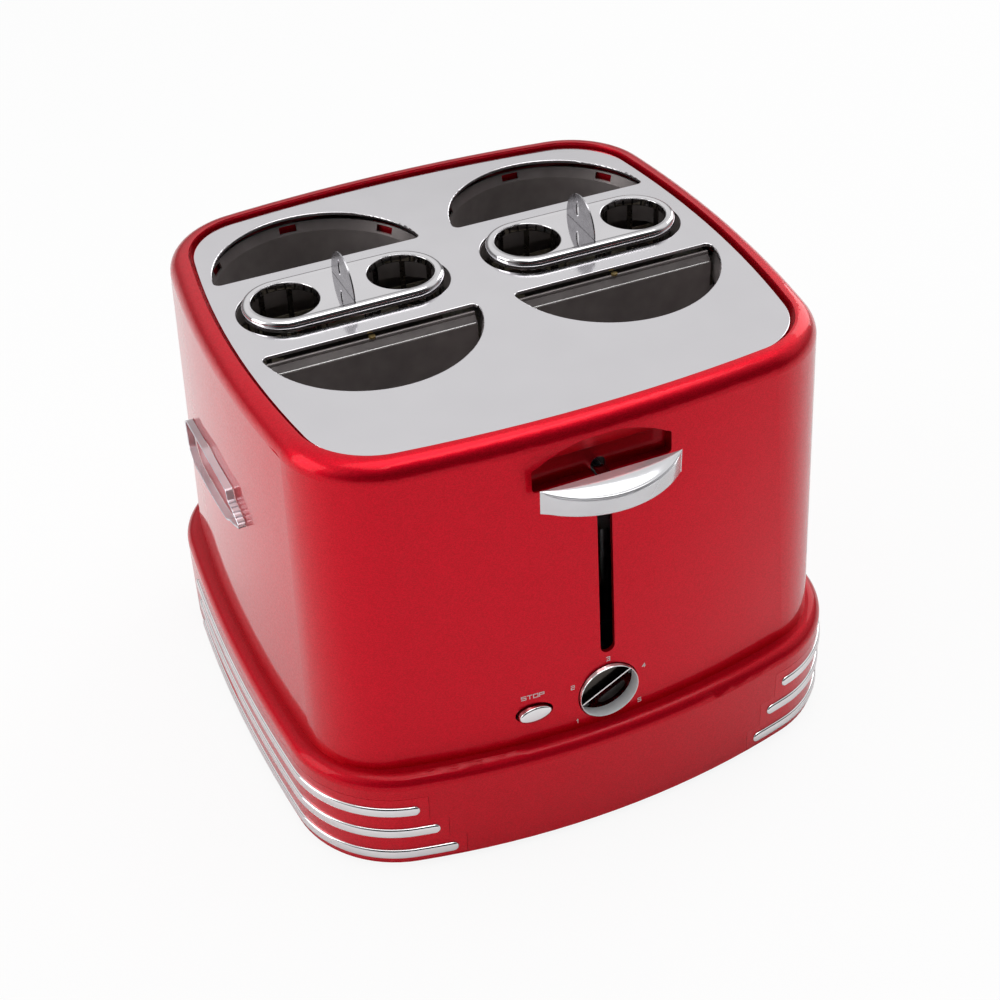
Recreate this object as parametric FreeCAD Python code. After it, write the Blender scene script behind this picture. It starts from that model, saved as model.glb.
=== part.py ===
import FreeCAD, Part
import math
import os

os.makedirs("parts", exist_ok=True)
Vec = FreeCAD.Vector

# Heights above the table, millimetres
FOOT_H = 4.0
BASE_TOP = 57.5
PLATE_TOP = 221.0
RIM_RISE = 2.0
RIM_TOP = PLATE_TOP + RIM_RISE

# Reach of a cutting block beyond the piece, and the margin past a face it cuts through
BIG = 400.0
CUT = 1.0
HALF_TURN = 180.0

# Plan outlines: width, depth, bulge of front and back, bulge of the sides, corner radius
PLATE_PLAN = (242.5, 228.2, 10.9, 12.3, 33.9)
SHELL_TOP_PLAN = (264.5, 250.5, 11.9, 13.3, 44.9)
SHELL_FOOT_PLAN = (273.0, 269.4, 24.0, 12.2, 41.0)
BASE_PLAN = (288.4, 288.0, 26.0, 12.0, 55.0)

# Shell and top plate
SHELL_T = 2.0
RIM_R = 9.0
GROOVE = 2.0
RETURN_T = 1.8
RETURN_H = 9.5
LEDGE_T = 1.5
LEDGE_IN = 3.0
PLATE_T = 1.5
PLATE_FLANGE_T = 1.2
PLATE_EDGE_R = 0.6

# Cooking stations: two units side by side, each with two bun slots round one sausage basket
UNIT_X = 61.0
UNIT_Y = 18.6
SLOT_R = 52.2
SLOT_DEPTH = 47.9
SLOT_EDGE = 34.4
SLOT_CORNER_R = 3.0
WELL_HALF_L = 51.4
WELL_R = 23.0

# Sheet-metal chamber
SHEET = 1.2
CHASSIS_FRONT_Y = -71.0
CHASSIS_REAR_Y = 107.0
SHIELD_X = 118.6
SHIELD_BEND_Y = 86.0
REAR_HALF_W = 100.0
CHASSIS_Z0 = 24.0
CHASSIS_Z1 = 208.0
PARTITION_X = 4.4
PARTITION_T = 1.0
CHAMBER_Z0 = 60.0
CHAMBER_Z1 = 208.0
SLIT_W = 9.0
SLIT_TOP = 162.0
SLIT_BOTTOM = 40.0

# Carriage travel and guide rods
TRAVEL = 92.0
ROD_X = 20.0
ROD_Y = -86.0
ROD_R = 3.0
REAR_ROD_Y = 115.5
REAR_ROD_R = 2.5
ROD_RUN = 0.08
ROD_SEAT = 0.04
ROD_Z0 = 28.0
ROD_Z1 = 206.0
TAB_TOP_Z = 203.0
TAB_LOW_Z = 30.0
TAB_HALF_W = 42.0
TAB_REACH = 30.0
REAR_TAB_HALF_W = 10.0
REAR_TAB_REACH = 13.0


def corner_geometry(plan, inset):
    width, depth, bulge_y, bulge_x, corner = plan
    half_w = width / 2
    half_d = depth / 2
    rad_y = (half_w ** 2 + bulge_y ** 2) / (2 * bulge_y)
    rad_x = (half_d ** 2 + bulge_x ** 2) / (2 * bulge_x)
    cy = half_d - rad_y
    cx = half_w - rad_x
    reach_y = rad_y - corner
    reach_x = rad_x - corner
    gap = math.hypot(cx, cy)
    along = (reach_y ** 2 - reach_x ** 2 + gap ** 2) / (2 * gap)
    side = math.sqrt(reach_y ** 2 - along ** 2)
    ux = cx / gap
    uy = -cy / gap
    corner_x = along * ux + side * -uy
    corner_y = cy + along * uy + side * ux
    other_x = along * ux - side * -uy
    other_y = cy + along * uy - side * ux
    if other_x + other_y > corner_x + corner_y:
        corner_x = other_x
        corner_y = other_y
    return (cx, cy, rad_x - inset, rad_y - inset, corner_x, corner_y, corner - inset)


def plan_wire(plan, inset, z):
    # Four shallow arcs joined by four tangent corner arcs, offset inwards by inset
    cx, cy, rad_x, rad_y, kx, ky, kr = corner_geometry(plan, inset)
    tilt_a = math.atan2(ky - cy, kx)
    tilt_b = math.atan2(ky, kx - cx)
    ax = rad_y * math.cos(tilt_a)
    ay = cy + rad_y * math.sin(tilt_a)
    bx = cx + rad_x * math.cos(tilt_b)
    by = rad_x * math.sin(tilt_b)
    mid = (tilt_a + tilt_b) / 2
    mx = kx + kr * math.cos(mid)
    my = ky + kr * math.sin(mid)
    top_y = cy + rad_y
    end_x = cx + rad_x
    edges = [
        Part.Arc(Vec(-ax, ay, z), Vec(0, top_y, z), Vec(ax, ay, z)),
        Part.Arc(Vec(ax, ay, z), Vec(mx, my, z), Vec(bx, by, z)),
        Part.Arc(Vec(bx, by, z), Vec(end_x, 0, z), Vec(bx, -by, z)),
        Part.Arc(Vec(bx, -by, z), Vec(mx, -my, z), Vec(ax, -ay, z)),
        Part.Arc(Vec(ax, -ay, z), Vec(0, -top_y, z), Vec(-ax, -ay, z)),
        Part.Arc(Vec(-ax, -ay, z), Vec(-mx, -my, z), Vec(-bx, -by, z)),
        Part.Arc(Vec(-bx, -by, z), Vec(-end_x, 0, z), Vec(-bx, by, z)),
        Part.Arc(Vec(-bx, by, z), Vec(-mx, my, z), Vec(-ax, ay, z)),
    ]
    return Part.Wire([edge.toShape() for edge in edges])


def plan_prism(plan, inset, z0, z1):
    return Part.Face(plan_wire(plan, inset, z0)).extrude(Vec(0, 0, z1 - z0))


def plan_ring(plan, outer_inset, inner_inset, z0, z1):
    return plan_prism(plan, outer_inset, z0, z1).cut(plan_prism(plan, inner_inset, z0, z1))


def block(x0, x1, y0, y1, z0, z1):
    return Part.makeBox(x1 - x0, y1 - y0, z1 - z0, Vec(x0, y0, z0))


def rod(radius, x, y, z0, z1):
    return Part.makeCylinder(radius, z1 - z0, Vec(x, y, z0))


def rod_y(radius, x, z, y0, y1):
    return Part.makeCylinder(radius, y1 - y0, Vec(x, y0, z), Vec(0, 1, 0))


def save(name, shape):
    shape.exportStep("parts/" + name + ".step")


def group(shapes):
    return Part.makeCompound(shapes)


# Red painted steel shell: drafted walls, rolled rim, opening for the top plate


def shell_body(inset, rim_r, top):
    foot = plan_wire(SHELL_FOOT_PLAN, inset, BASE_TOP)
    head = plan_wire(SHELL_TOP_PLAN, inset, top)
    body = Part.makeLoft([foot, head], True, True)
    rim = [edge for edge in body.Edges if edge.BoundBox.ZMin > top - rim_r]
    return body.makeFillet(rim_r, rim)


shell = shell_body(0, RIM_R, RIM_TOP)
shell = shell.cut(shell_body(SHELL_T, RIM_R - SHELL_T, RIM_TOP - SHELL_T))
bottom_slice = plan_prism(SHELL_FOOT_PLAN, SHELL_T, BASE_TOP - CUT, BASE_TOP + CUT)
shell = shell.cut(bottom_slice)
shell = shell.cut(plan_prism(PLATE_PLAN, -GROOVE, PLATE_TOP - RETURN_H, RIM_TOP + CUT))
RETURN_Z0 = PLATE_TOP - RETURN_H
RETURN_Z1 = RIM_TOP - SHELL_T / 4
shell = shell.fuse(plan_ring(PLATE_PLAN, -GROOVE - RETURN_T, -GROOVE, RETURN_Z0, RETURN_Z1))
shell = shell.fuse(plan_ring(PLATE_PLAN, -GROOVE - RETURN_T, LEDGE_IN, RETURN_Z0, RETURN_Z0 + LEDGE_T))

# Lever slot and the finger recess above the lever
LEVER_SLOT_W = 7.2
LEVER_SLOT_Z0 = 97.3
LEVER_SLOT_Z1 = 200.0
FRONT_CUT_Y0 = -160.0
FRONT_CUT_Y1 = -112.0
slot = block(-LEVER_SLOT_W / 2, LEVER_SLOT_W / 2, FRONT_CUT_Y0, FRONT_CUT_Y1,
             LEVER_SLOT_Z0 + LEVER_SLOT_W / 2, LEVER_SLOT_Z1 - LEVER_SLOT_W / 2)
slot = slot.fuse(rod_y(LEVER_SLOT_W / 2, 0, LEVER_SLOT_Z0 + LEVER_SLOT_W / 2, FRONT_CUT_Y0, FRONT_CUT_Y1))
slot = slot.fuse(rod_y(LEVER_SLOT_W / 2, 0, LEVER_SLOT_Z1 - LEVER_SLOT_W / 2, FRONT_CUT_Y0, FRONT_CUT_Y1))
RECESS_HALF_W = 33.0
RECESS_Z0 = 194.5
RECESS_Z1 = 206.0
RECESS_Y = -121.5
RECESS_WALL = 1.6
RECESS_ROUND = 2.0
BROW_RISE = 9.0
BROW_Y = -126.0
backing = block(-RECESS_HALF_W - RECESS_WALL, RECESS_HALF_W + RECESS_WALL,
                RECESS_Y - 4 * SHELL_T, RECESS_Y + RECESS_WALL,
                RECESS_Z0 - RECESS_WALL, RECESS_Z1 + BROW_RISE)
backing = backing.common(shell_body(SHELL_T / 2, RIM_R - SHELL_T / 2, RIM_TOP - SHELL_T / 2))
shell = shell.fuse(backing)
pocket = block(-RECESS_HALF_W, RECESS_HALF_W, FRONT_CUT_Y0, RECESS_Y, RECESS_Z0, RECESS_Z1)
pocket_ends = [edge for edge in pocket.Edges if edge.BoundBox.YLength > SHELL_T]
pocket = pocket.makeFillet(RECESS_ROUND, pocket_ends)
brow_half = RECESS_HALF_W - RECESS_ROUND
brow_r = (brow_half ** 2 + BROW_RISE ** 2) / (2 * BROW_RISE)
brow = rod_y(brow_r, 0, RECESS_Z1 + BROW_RISE - brow_r, FRONT_CUT_Y0, RECESS_Y)
brow = brow.common(block(-brow_half, brow_half, FRONT_CUT_Y0, RECESS_Y, RECESS_Z0, BIG))
slope = Part.Face(Part.makePolygon([Vec(-BIG, RECESS_Y, RECESS_Z1), Vec(-BIG, RECESS_Y, BIG),
                                    Vec(-BIG, BROW_Y, BIG), Vec(-BIG, BROW_Y, RECESS_Z1 + BROW_RISE),
                                    Vec(-BIG, RECESS_Y, RECESS_Z1)]))
pocket = pocket.fuse(brow.cut(slope.extrude(Vec(2 * BIG, 0, 0))))
shell = shell.cut(pocket)
shell = shell.cut(slot)

# Browning knob hole and stop button hole in the front wall
KNOB_X = 0.0
KNOB_Z = 74.6
KNOB_R = 15.0
KNOB_GAP = 0.5
BUTTON_X = -37.1
BUTTON_Z = 74.4
BUTTON_A = 8.4
BUTTON_B = 4.7
BUTTON_GAP = 0.7


def oval(a, b, x, z, y0, y1):
    # Oval prism along Y with its long axis on X
    curve = Part.Ellipse(Vec(0, 0, 0), a, b)
    face = Part.Face(Part.Wire([curve.toShape()]))
    face.rotate(Vec(0, 0, 0), Vec(1, 0, 0), 90)
    face.translate(Vec(x, y0, z))
    return face.extrude(Vec(0, y1 - y0, 0))


shell = shell.cut(rod_y(KNOB_R + KNOB_GAP, KNOB_X, KNOB_Z, FRONT_CUT_Y0, FRONT_CUT_Y1))
shell = shell.cut(oval(BUTTON_A + BUTTON_GAP, BUTTON_B + BUTTON_GAP, BUTTON_X, BUTTON_Z,
                       FRONT_CUT_Y0, FRONT_CUT_Y1))
save("housing_shell", shell)

# Bun slot outline: a circular arc closed by a straight edge that faces the basket


def moon_centre(side):
    return UNIT_Y + side * (SLOT_EDGE + SLOT_DEPTH - SLOT_R)


def moon(x, side, inset, edge_inset, z0, z1):
    yc = moon_centre(side)
    radius = SLOT_R - inset
    edge = UNIT_Y + side * (SLOT_EDGE + edge_inset)
    half = math.sqrt(radius ** 2 - (edge - yc) ** 2)
    arc = Part.Arc(Vec(x - half, edge, z0), Vec(x, yc + side * radius, z0), Vec(x + half, edge, z0))
    line = Part.LineSegment(Vec(x + half, edge, z0), Vec(x - half, edge, z0))
    face = Part.Face(Part.Wire([arc.toShape(), line.toShape()]))
    return face.extrude(Vec(0, 0, z1 - z0))


def stadium(x, half_l, radius, z0, z1):
    run = half_l - radius
    body = block(x - run, x + run, UNIT_Y - radius, UNIT_Y + radius, z0, z1)
    body = body.fuse(rod(radius, x - run, UNIT_Y, z0, z1))
    return body.fuse(rod(radius, x + run, UNIT_Y, z0, z1)).removeSplitter()


UNITS = (("left", -1), ("right", 1))
SIDES = (("front", -1), ("back", 1))

# Polished steel top plate standing on the ledge of the rim
plate = plan_prism(PLATE_PLAN, 0, PLATE_TOP - PLATE_T, PLATE_TOP)
for unit_name, unit in UNITS:
    for side_name, side in SIDES:
        hole = moon(unit * UNIT_X, side, 0, 0, PLATE_TOP - PLATE_T - CUT, PLATE_TOP + CUT)
        upright = [edge for edge in hole.Edges if edge.BoundBox.ZLength > PLATE_T]
        plate = plate.cut(hole.makeFillet(SLOT_CORNER_R, upright))
    well = stadium(unit * UNIT_X, WELL_HALF_L, WELL_R, PLATE_TOP - PLATE_T - CUT, PLATE_TOP + CUT)
    plate = plate.cut(well)
top_edges = [edge for edge in plate.Edges if edge.BoundBox.ZMin > PLATE_TOP - PLATE_EDGE_R / 2]
plate = plate.makeFillet(PLATE_EDGE_R, top_edges)
plate = plate.fuse(plan_ring(PLATE_PLAN, 0, PLATE_FLANGE_T, RETURN_Z0 + LEDGE_T, PLATE_TOP - PLATE_T))
save("top_plate", plate.removeSplitter())

# Red base: skirt wall and a flat deck that carries the shell
SKIRT_T = 3.0
DECK_T = 3.0
DECK_OPEN = 9.0
BASE_EDGE_R = 6.0
base_outer = plan_prism(BASE_PLAN, 0, FOOT_H, BASE_TOP)
deck_rim = [edge for edge in base_outer.Edges if edge.BoundBox.ZMin > BASE_TOP - CUT]
base_outer = base_outer.makeFillet(BASE_EDGE_R, deck_rim)
base = base_outer.cut(plan_prism(BASE_PLAN, SKIRT_T, FOOT_H, BASE_TOP - DECK_T - BASE_EDGE_R / 2))
base = base.cut(plan_prism(SHELL_FOOT_PLAN, DECK_OPEN, FOOT_H, BASE_TOP))
under_deck = plan_prism(SHELL_FOOT_PLAN, SHELL_T, FOOT_H, BASE_TOP - DECK_T)
base = base.cut(under_deck)

# Locating rib inside the foot of the shell
RIB_T = 2.0
RIB_H = 1.5
RIB_GAP = 0.3
RIB_SETBACK = 1.0
rib_inset = SHELL_T + RIB_GAP + RIB_SETBACK
base = base.fuse(plan_ring(SHELL_FOOT_PLAN, rib_inset, rib_inset + RIB_T,
                           BASE_TOP - DECK_T, BASE_TOP + RIB_H))

# Crumb tray opening and cord gland hole in the back wall of the base
TRAY_HALF_W = 84.0
TRAY_GAP = 0.6
TRAY_Z0 = 8.0
TRAY_H = 12.0
TRAY_MOUTH_Z1 = 26.0
BACK_CUT_Y0 = 110.0
BACK_CUT_Y1 = 160.0
base = base.cut(block(-TRAY_HALF_W - TRAY_GAP, TRAY_HALF_W + TRAY_GAP, BACK_CUT_Y0, BACK_CUT_Y1,
                      TRAY_Z0 - TRAY_GAP, TRAY_MOUTH_Z1 + TRAY_GAP))
GLAND_X = 70.0
GLAND_Z = 41.0
GLAND_R = 6.0
GLAND_BORE_R = 3.6
GLAND_HEAD_R = 8.5
GLAND_HEAD_T = 3.0
GLAND_SEAT = 1.8
base = base.cut(rod_y(GLAND_R, GLAND_X, GLAND_Z, BACK_CUT_Y0, BACK_CUT_Y1))

# Bosses that take the foot screws
FOOT_X = 100.0
FOOT_Y = 88.0
BOSS_R = 5.0
WEB_TOP = 22.0
SCREW_R = 1.9
SCREW_GAP = 0.05
SCREW_TIP_Z = 24.0
BASE_PLATE_T = 1.5
BASE_PLATE_Z1 = FOOT_H + BASE_PLATE_T
corners = [(sx * FOOT_X, sy * FOOT_Y) for sx in (-1, 1) for sy in (-1, 1)]
deck_under = BASE_TOP - DECK_T
for fx, fy in corners:
    boss = rod(BOSS_R, fx, fy, BASE_PLATE_Z1, deck_under)
    web_end = fx + math.copysign(BIG, fx)
    web = block(min(fx, web_end), max(fx, web_end), fy - RIB_T / 2, fy + RIB_T / 2,
                BASE_PLATE_Z1, WEB_TOP)
    boss = boss.fuse(web.common(plan_prism(BASE_PLAN, SKIRT_T / 2, BASE_PLATE_Z1, WEB_TOP)))
    bore = rod(SCREW_R + SCREW_GAP, fx, fy, BASE_PLATE_Z1, SCREW_TIP_Z + CUT)
    base = base.fuse(boss).cut(bore)

# Separate side trim panels with stepped front ends, set flush into the base
TRIM_T = 1.8
TRIM_GAP = 0.15
TRIM_LAP = 4.0
STRIP_H = 4.8
STRIP_Z = (38.2, 24.2, 10.0)
STRIP_FRONT_X = (95.8, 87.2, 79.4)
STRIP_REAR_Y = 70.0
STRIP_PROUD = 1.3
STRIP_SUNK = 1.0
STRIP_GAP = 0.1
STEP_Z = (46.0, 31.0, 17.0, 5.0)


def side_zone(unit, level, grow):
    x_front = STRIP_FRONT_X[level] - TRIM_LAP - grow
    x0 = x_front if unit > 0 else -BIG
    x1 = BIG if unit > 0 else -x_front
    z1 = STEP_Z[level] + (grow if level == 0 else 0)
    z0 = STEP_Z[level + 1] - (grow if level == len(STRIP_Z) - 1 else 0)
    return block(x0, x1, -BIG, STRIP_REAR_Y + TRIM_LAP + grow, z0, z1)


def side_panel(unit, grow, depth):
    ring = plan_ring(BASE_PLAN, 0, depth, FOOT_H, BASE_TOP)
    zone = side_zone(unit, 0, grow)
    for level in range(1, len(STRIP_Z)):
        zone = zone.fuse(side_zone(unit, level, grow))
    return ring.common(zone)


def strip_zone(unit, level, grow):
    x_front = STRIP_FRONT_X[level] - grow
    x0 = x_front if unit > 0 else -BIG
    x1 = BIG if unit > 0 else -x_front
    half = STRIP_H / 2 + grow
    z = STRIP_Z[level]
    x_bend = unit * (x_front + half)
    y_bend = STRIP_REAR_Y + grow - half
    side_end = max(x1, -x0) if unit > 0 else x0
    zone = block(min(x_bend, side_end), max(x_bend, side_end), -BIG, y_bend, z - half, z + half)
    zone = zone.fuse(rod_y(half, x_bend, z, -BIG, 0))
    tail = Part.makeCylinder(half, BIG, Vec(min(0, side_end), y_bend, z), Vec(1, 0, 0))
    return zone.fuse(tail)


LEVELS = ("upper", "middle", "lower")
for unit_name, unit in UNITS:
    base = base.cut(side_panel(unit, TRIM_GAP, TRIM_T))
    panel = side_panel(unit, 0, TRIM_T - TRIM_GAP)
    for level, level_name in enumerate(LEVELS):
        groove = plan_ring(BASE_PLAN, 0, STRIP_SUNK, FOOT_H, BASE_TOP)
        panel = panel.cut(groove.common(strip_zone(unit, level, STRIP_GAP)))
        ring = plan_ring(BASE_PLAN, -STRIP_PROUD, STRIP_SUNK - STRIP_GAP, FOOT_H, BASE_TOP)
        strip = ring.common(strip_zone(unit, level, 0))
        save("chrome_strip_" + unit_name + "_" + level_name, strip)
    save("side_trim_" + unit_name, panel)
save("base_skirt", base)

# Steel bottom plate with vent slots and runners for the crumb tray
VENT_L = 60.0
VENT_W = 4.0
VENT_PITCH = 14.0
VENT_COUNT = 9
VENT_Y = 20.0
RUNNER_X = 70.0
RUNNER_W = 6.0
RUNNER_GAP = 0.1
floor = plan_prism(BASE_PLAN, SKIRT_T + TRIM_GAP, FOOT_H, BASE_PLATE_Z1)
for row in range(VENT_COUNT):
    vx = (row - (VENT_COUNT - 1) / 2) * VENT_PITCH
    floor = floor.cut(block(vx - VENT_W / 2, vx + VENT_W / 2, VENT_Y - VENT_L / 2, VENT_Y + VENT_L / 2,
                            FOOT_H - CUT, BASE_PLATE_Z1 + CUT))
RUNNER_Y0 = -60.0
RUNNER_Y1 = 132.0
for unit_name, unit in UNITS:
    rx = unit * RUNNER_X
    floor = floor.fuse(block(rx - RUNNER_W / 2, rx + RUNNER_W / 2, RUNNER_Y0, RUNNER_Y1,
                             BASE_PLATE_Z1, TRAY_Z0 - RUNNER_GAP))
for fx, fy in corners:
    floor = floor.cut(rod(SCREW_R + SCREW_GAP, fx, fy, FOOT_H - CUT, BASE_PLATE_Z1 + CUT))
save("base_plate", floor)

# Rubber feet and the screws that hold them
FOOT_R = 10.0
FOOT_TAPER = 1.0
HEAD_R = 3.6
HEAD_T = 1.6
FOOT_POCKET_Z = 2.2
screws = []
feet = []
for fx, fy in corners:
    foot = Part.makeCone(FOOT_R - FOOT_TAPER, FOOT_R, FOOT_H, Vec(fx, fy, 0))
    foot = foot.cut(rod(HEAD_R + SCREW_GAP, fx, fy, -CUT, FOOT_POCKET_Z))
    foot = foot.cut(rod(SCREW_R + SCREW_GAP, fx, fy, -CUT, FOOT_H + CUT))
    feet.append(foot)
    screw = rod(HEAD_R, fx, fy, FOOT_POCKET_Z - HEAD_T, FOOT_POCKET_Z)
    screws.append(screw.fuse(rod(SCREW_R, fx, fy, FOOT_POCKET_Z - HEAD_T / 2, SCREW_TIP_Z)))
save("rubber_feet", group(feet))
save("foot_screws", group(screws))

# Crumb tray that slides out of the back
TRAY_T = 1.0
TRAY_Y0 = -58.0
TRAY_LIP = 1.6
tray_zone = block(-TRAY_HALF_W, TRAY_HALF_W, TRAY_Y0, BIG, TRAY_Z0, TRAY_Z0 + TRAY_H)
tray = plan_prism(BASE_PLAN, SKIRT_T, TRAY_Z0, TRAY_Z0 + TRAY_H).common(tray_zone)
tray_well = block(-TRAY_HALF_W + TRAY_T, TRAY_HALF_W - TRAY_T, TRAY_Y0 + TRAY_T, BIG,
                  TRAY_Z0 + TRAY_T, BASE_TOP)
tray = tray.cut(plan_prism(BASE_PLAN, SKIRT_T + TRAY_T, TRAY_Z0, BASE_TOP).common(tray_well))
front_zone = block(-TRAY_HALF_W, TRAY_HALF_W, BACK_CUT_Y0, BIG, TRAY_Z0, TRAY_MOUTH_Z1)
tray_front = plan_ring(BASE_PLAN, 0, SKIRT_T + TRAY_LIP / 2, TRAY_Z0, TRAY_MOUTH_Z1)
tray = tray.fuse(tray_front.common(front_zone))
PULL_HALF_W = 22.0
PULL_Z0 = 21.0
PULL_T = 2.5
LEVER_REACH_Y = -148.0
PULL_REACH = -LEVER_REACH_Y - BASE_PLAN[1] / 2
pull_zone = block(-PULL_HALF_W, PULL_HALF_W, BACK_CUT_Y0, BIG, PULL_Z0, PULL_Z0 + PULL_T)
pull = plan_ring(BASE_PLAN, -PULL_REACH, SKIRT_T / 2, TRAY_Z0, TRAY_MOUTH_Z1)
tray = tray.fuse(pull.common(pull_zone))
save("crumb_tray", tray.removeSplitter())

# Cord gland bushing in the back wall
base_geometry = corner_geometry(BASE_PLAN, 0)
gland_face_y = math.sqrt(base_geometry[3] ** 2 - GLAND_X ** 2) + base_geometry[1]
gland_seat_y = gland_face_y + GLAND_SEAT
gland_end_y = gland_seat_y + GLAND_HEAD_T
gland = rod_y(GLAND_R - SCREW_GAP, GLAND_X, GLAND_Z, gland_face_y - 2 * SKIRT_T, gland_end_y)
gland = gland.fuse(rod_y(GLAND_HEAD_R, GLAND_X, GLAND_Z, gland_seat_y, gland_end_y))
gland = gland.cut(rod_y(GLAND_BORE_R, GLAND_X, GLAND_Z, BACK_CUT_Y0, BACK_CUT_Y1))
save("cord_gland", gland)

# Chamber panels: front and rear chassis, side shields, centre partitions
front_panel = block(-SHIELD_X - SHEET, SHIELD_X + SHEET, CHASSIS_FRONT_Y - SHEET, CHASSIS_FRONT_Y,
                    CHASSIS_Z0, CHASSIS_Z1)
for tab_z in (TAB_TOP_Z, TAB_LOW_Z):
    front_panel = front_panel.fuse(block(-TAB_HALF_W, TAB_HALF_W, CHASSIS_FRONT_Y - TAB_REACH,
                                         CHASSIS_FRONT_Y, tab_z, tab_z + SHEET))
LEG_X0 = 88.0
LEG_X1 = 97.0


def with_legs(panel, y0, y1):
    for side in (-1, 1):
        x0 = min(side * LEG_X0, side * LEG_X1)
        panel = panel.fuse(block(x0, x0 + LEG_X1 - LEG_X0, y0, y1, BASE_PLATE_Z1, CHASSIS_Z0))
    return panel


front_panel = with_legs(front_panel, CHASSIS_FRONT_Y - SHEET, CHASSIS_FRONT_Y)
SPACER_R = 3.0
BOARD_Y = -107.4
BOARD_T = 1.6
BOARD_X0 = -58.0
BOARD_X1 = 48.0
BOARD_Z0 = 59.5
BOARD_Z1 = 92.0
SPACER_INSET = 6.0
spacer_x = (BOARD_X0 + SPACER_INSET, BOARD_X1 - SPACER_INSET)
spacer_z = (BOARD_Z0 + SPACER_INSET, BOARD_Z1 - SPACER_INSET)
for sx in spacer_x:
    for sz in spacer_z:
        front_panel = front_panel.fuse(rod_y(SPACER_R, sx, sz, BOARD_Y, CHASSIS_FRONT_Y))
front_panel = front_panel.cut(block(-SLIT_W / 2, SLIT_W / 2, CHASSIS_FRONT_Y - 2 * SHEET,
                                    CHASSIS_FRONT_Y + SHEET, SLIT_BOTTOM, SLIT_TOP))
for unit_name, unit in UNITS:
    front_panel = front_panel.cut(rod(ROD_R + ROD_SEAT, unit * ROD_X, ROD_Y, CHASSIS_Z0, CHASSIS_Z1))
save("chassis_front", front_panel)

rear_panel = block(-REAR_HALF_W, REAR_HALF_W, CHASSIS_REAR_Y, CHASSIS_REAR_Y + SHEET,
                   CHASSIS_Z0, CHASSIS_Z1)
rear_panel = with_legs(rear_panel, CHASSIS_REAR_Y, CHASSIS_REAR_Y + SHEET)
for tab_z in (TAB_TOP_Z, TAB_LOW_Z):
    rear_panel = rear_panel.fuse(block(-REAR_TAB_HALF_W, REAR_TAB_HALF_W, CHASSIS_REAR_Y,
                                       CHASSIS_REAR_Y + REAR_TAB_REACH, tab_z, tab_z + SHEET))
rear_panel = rear_panel.cut(block(-SLIT_W / 2, SLIT_W / 2, CHASSIS_REAR_Y - SHEET,
                                  CHASSIS_REAR_Y + 2 * SHEET, SLIT_BOTTOM, SLIT_TOP))
rear_panel = rear_panel.cut(rod(REAR_ROD_R + ROD_SEAT, 0, REAR_ROD_Y, CHASSIS_Z0, CHASSIS_Z1))
save("chassis_rear", rear_panel)

LIFT_OFFSET = 58.0
ARM_ROWS = (UNIT_Y - LIFT_OFFSET, UNIT_Y, UNIT_Y + LIFT_OFFSET)
BOARD_OFFSET = 28.0
MICA_T = 1.0
MICA_Z0 = 66.0
MICA_Z1 = 200.0
MICA_GAP = 0.1
RIBBON_T = 0.4
RIBBON_ROOM = 0.4
channel_half = PARTITION_X + PARTITION_T
channel = block(-channel_half, channel_half, CHASSIS_FRONT_Y, CHASSIS_REAR_Y, CHAMBER_Z0, CHAMBER_Z1)
channel = channel.cut(block(-PARTITION_X, PARTITION_X, CHASSIS_FRONT_Y - CUT, CHASSIS_REAR_Y + CUT,
                            CHAMBER_Z0 - CUT, CHAMBER_Z1 - PARTITION_T))
for row_y in ARM_ROWS:
    channel = channel.cut(block(-BIG, BIG, row_y - SLIT_W / 2, row_y + SLIT_W / 2,
                                CHAMBER_Z0 - CUT, SLIT_TOP))
for side in (-1, 1):
    near_y = UNIT_Y + side * (BOARD_OFFSET - MICA_GAP)
    far_y = UNIT_Y + side * (BOARD_OFFSET + MICA_T + RIBBON_T + RIBBON_ROOM)
    channel = channel.cut(block(-BIG, BIG, min(near_y, far_y), max(near_y, far_y),
                                CHAMBER_Z0 - CUT, MICA_Z1 + MICA_GAP))
save("centre_channel", channel)
for unit_name, unit in UNITS:
    path = [(SHIELD_X, CHASSIS_FRONT_Y), (SHIELD_X, SHIELD_BEND_Y), (REAR_HALF_W - SHEET, CHASSIS_REAR_Y),
            (REAR_HALF_W, CHASSIS_REAR_Y), (SHIELD_X + SHEET, SHIELD_BEND_Y + SHEET / 2),
            (SHIELD_X + SHEET, CHASSIS_FRONT_Y)]
    points = [Vec(unit * px, py, CHASSIS_Z0) for px, py in path]
    shield = Part.Face(Part.makePolygon(points + [points[0]])).extrude(Vec(0, 0, CHASSIS_Z1 - CHASSIS_Z0))
    save("heat_shield_" + unit_name, shield)

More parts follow.
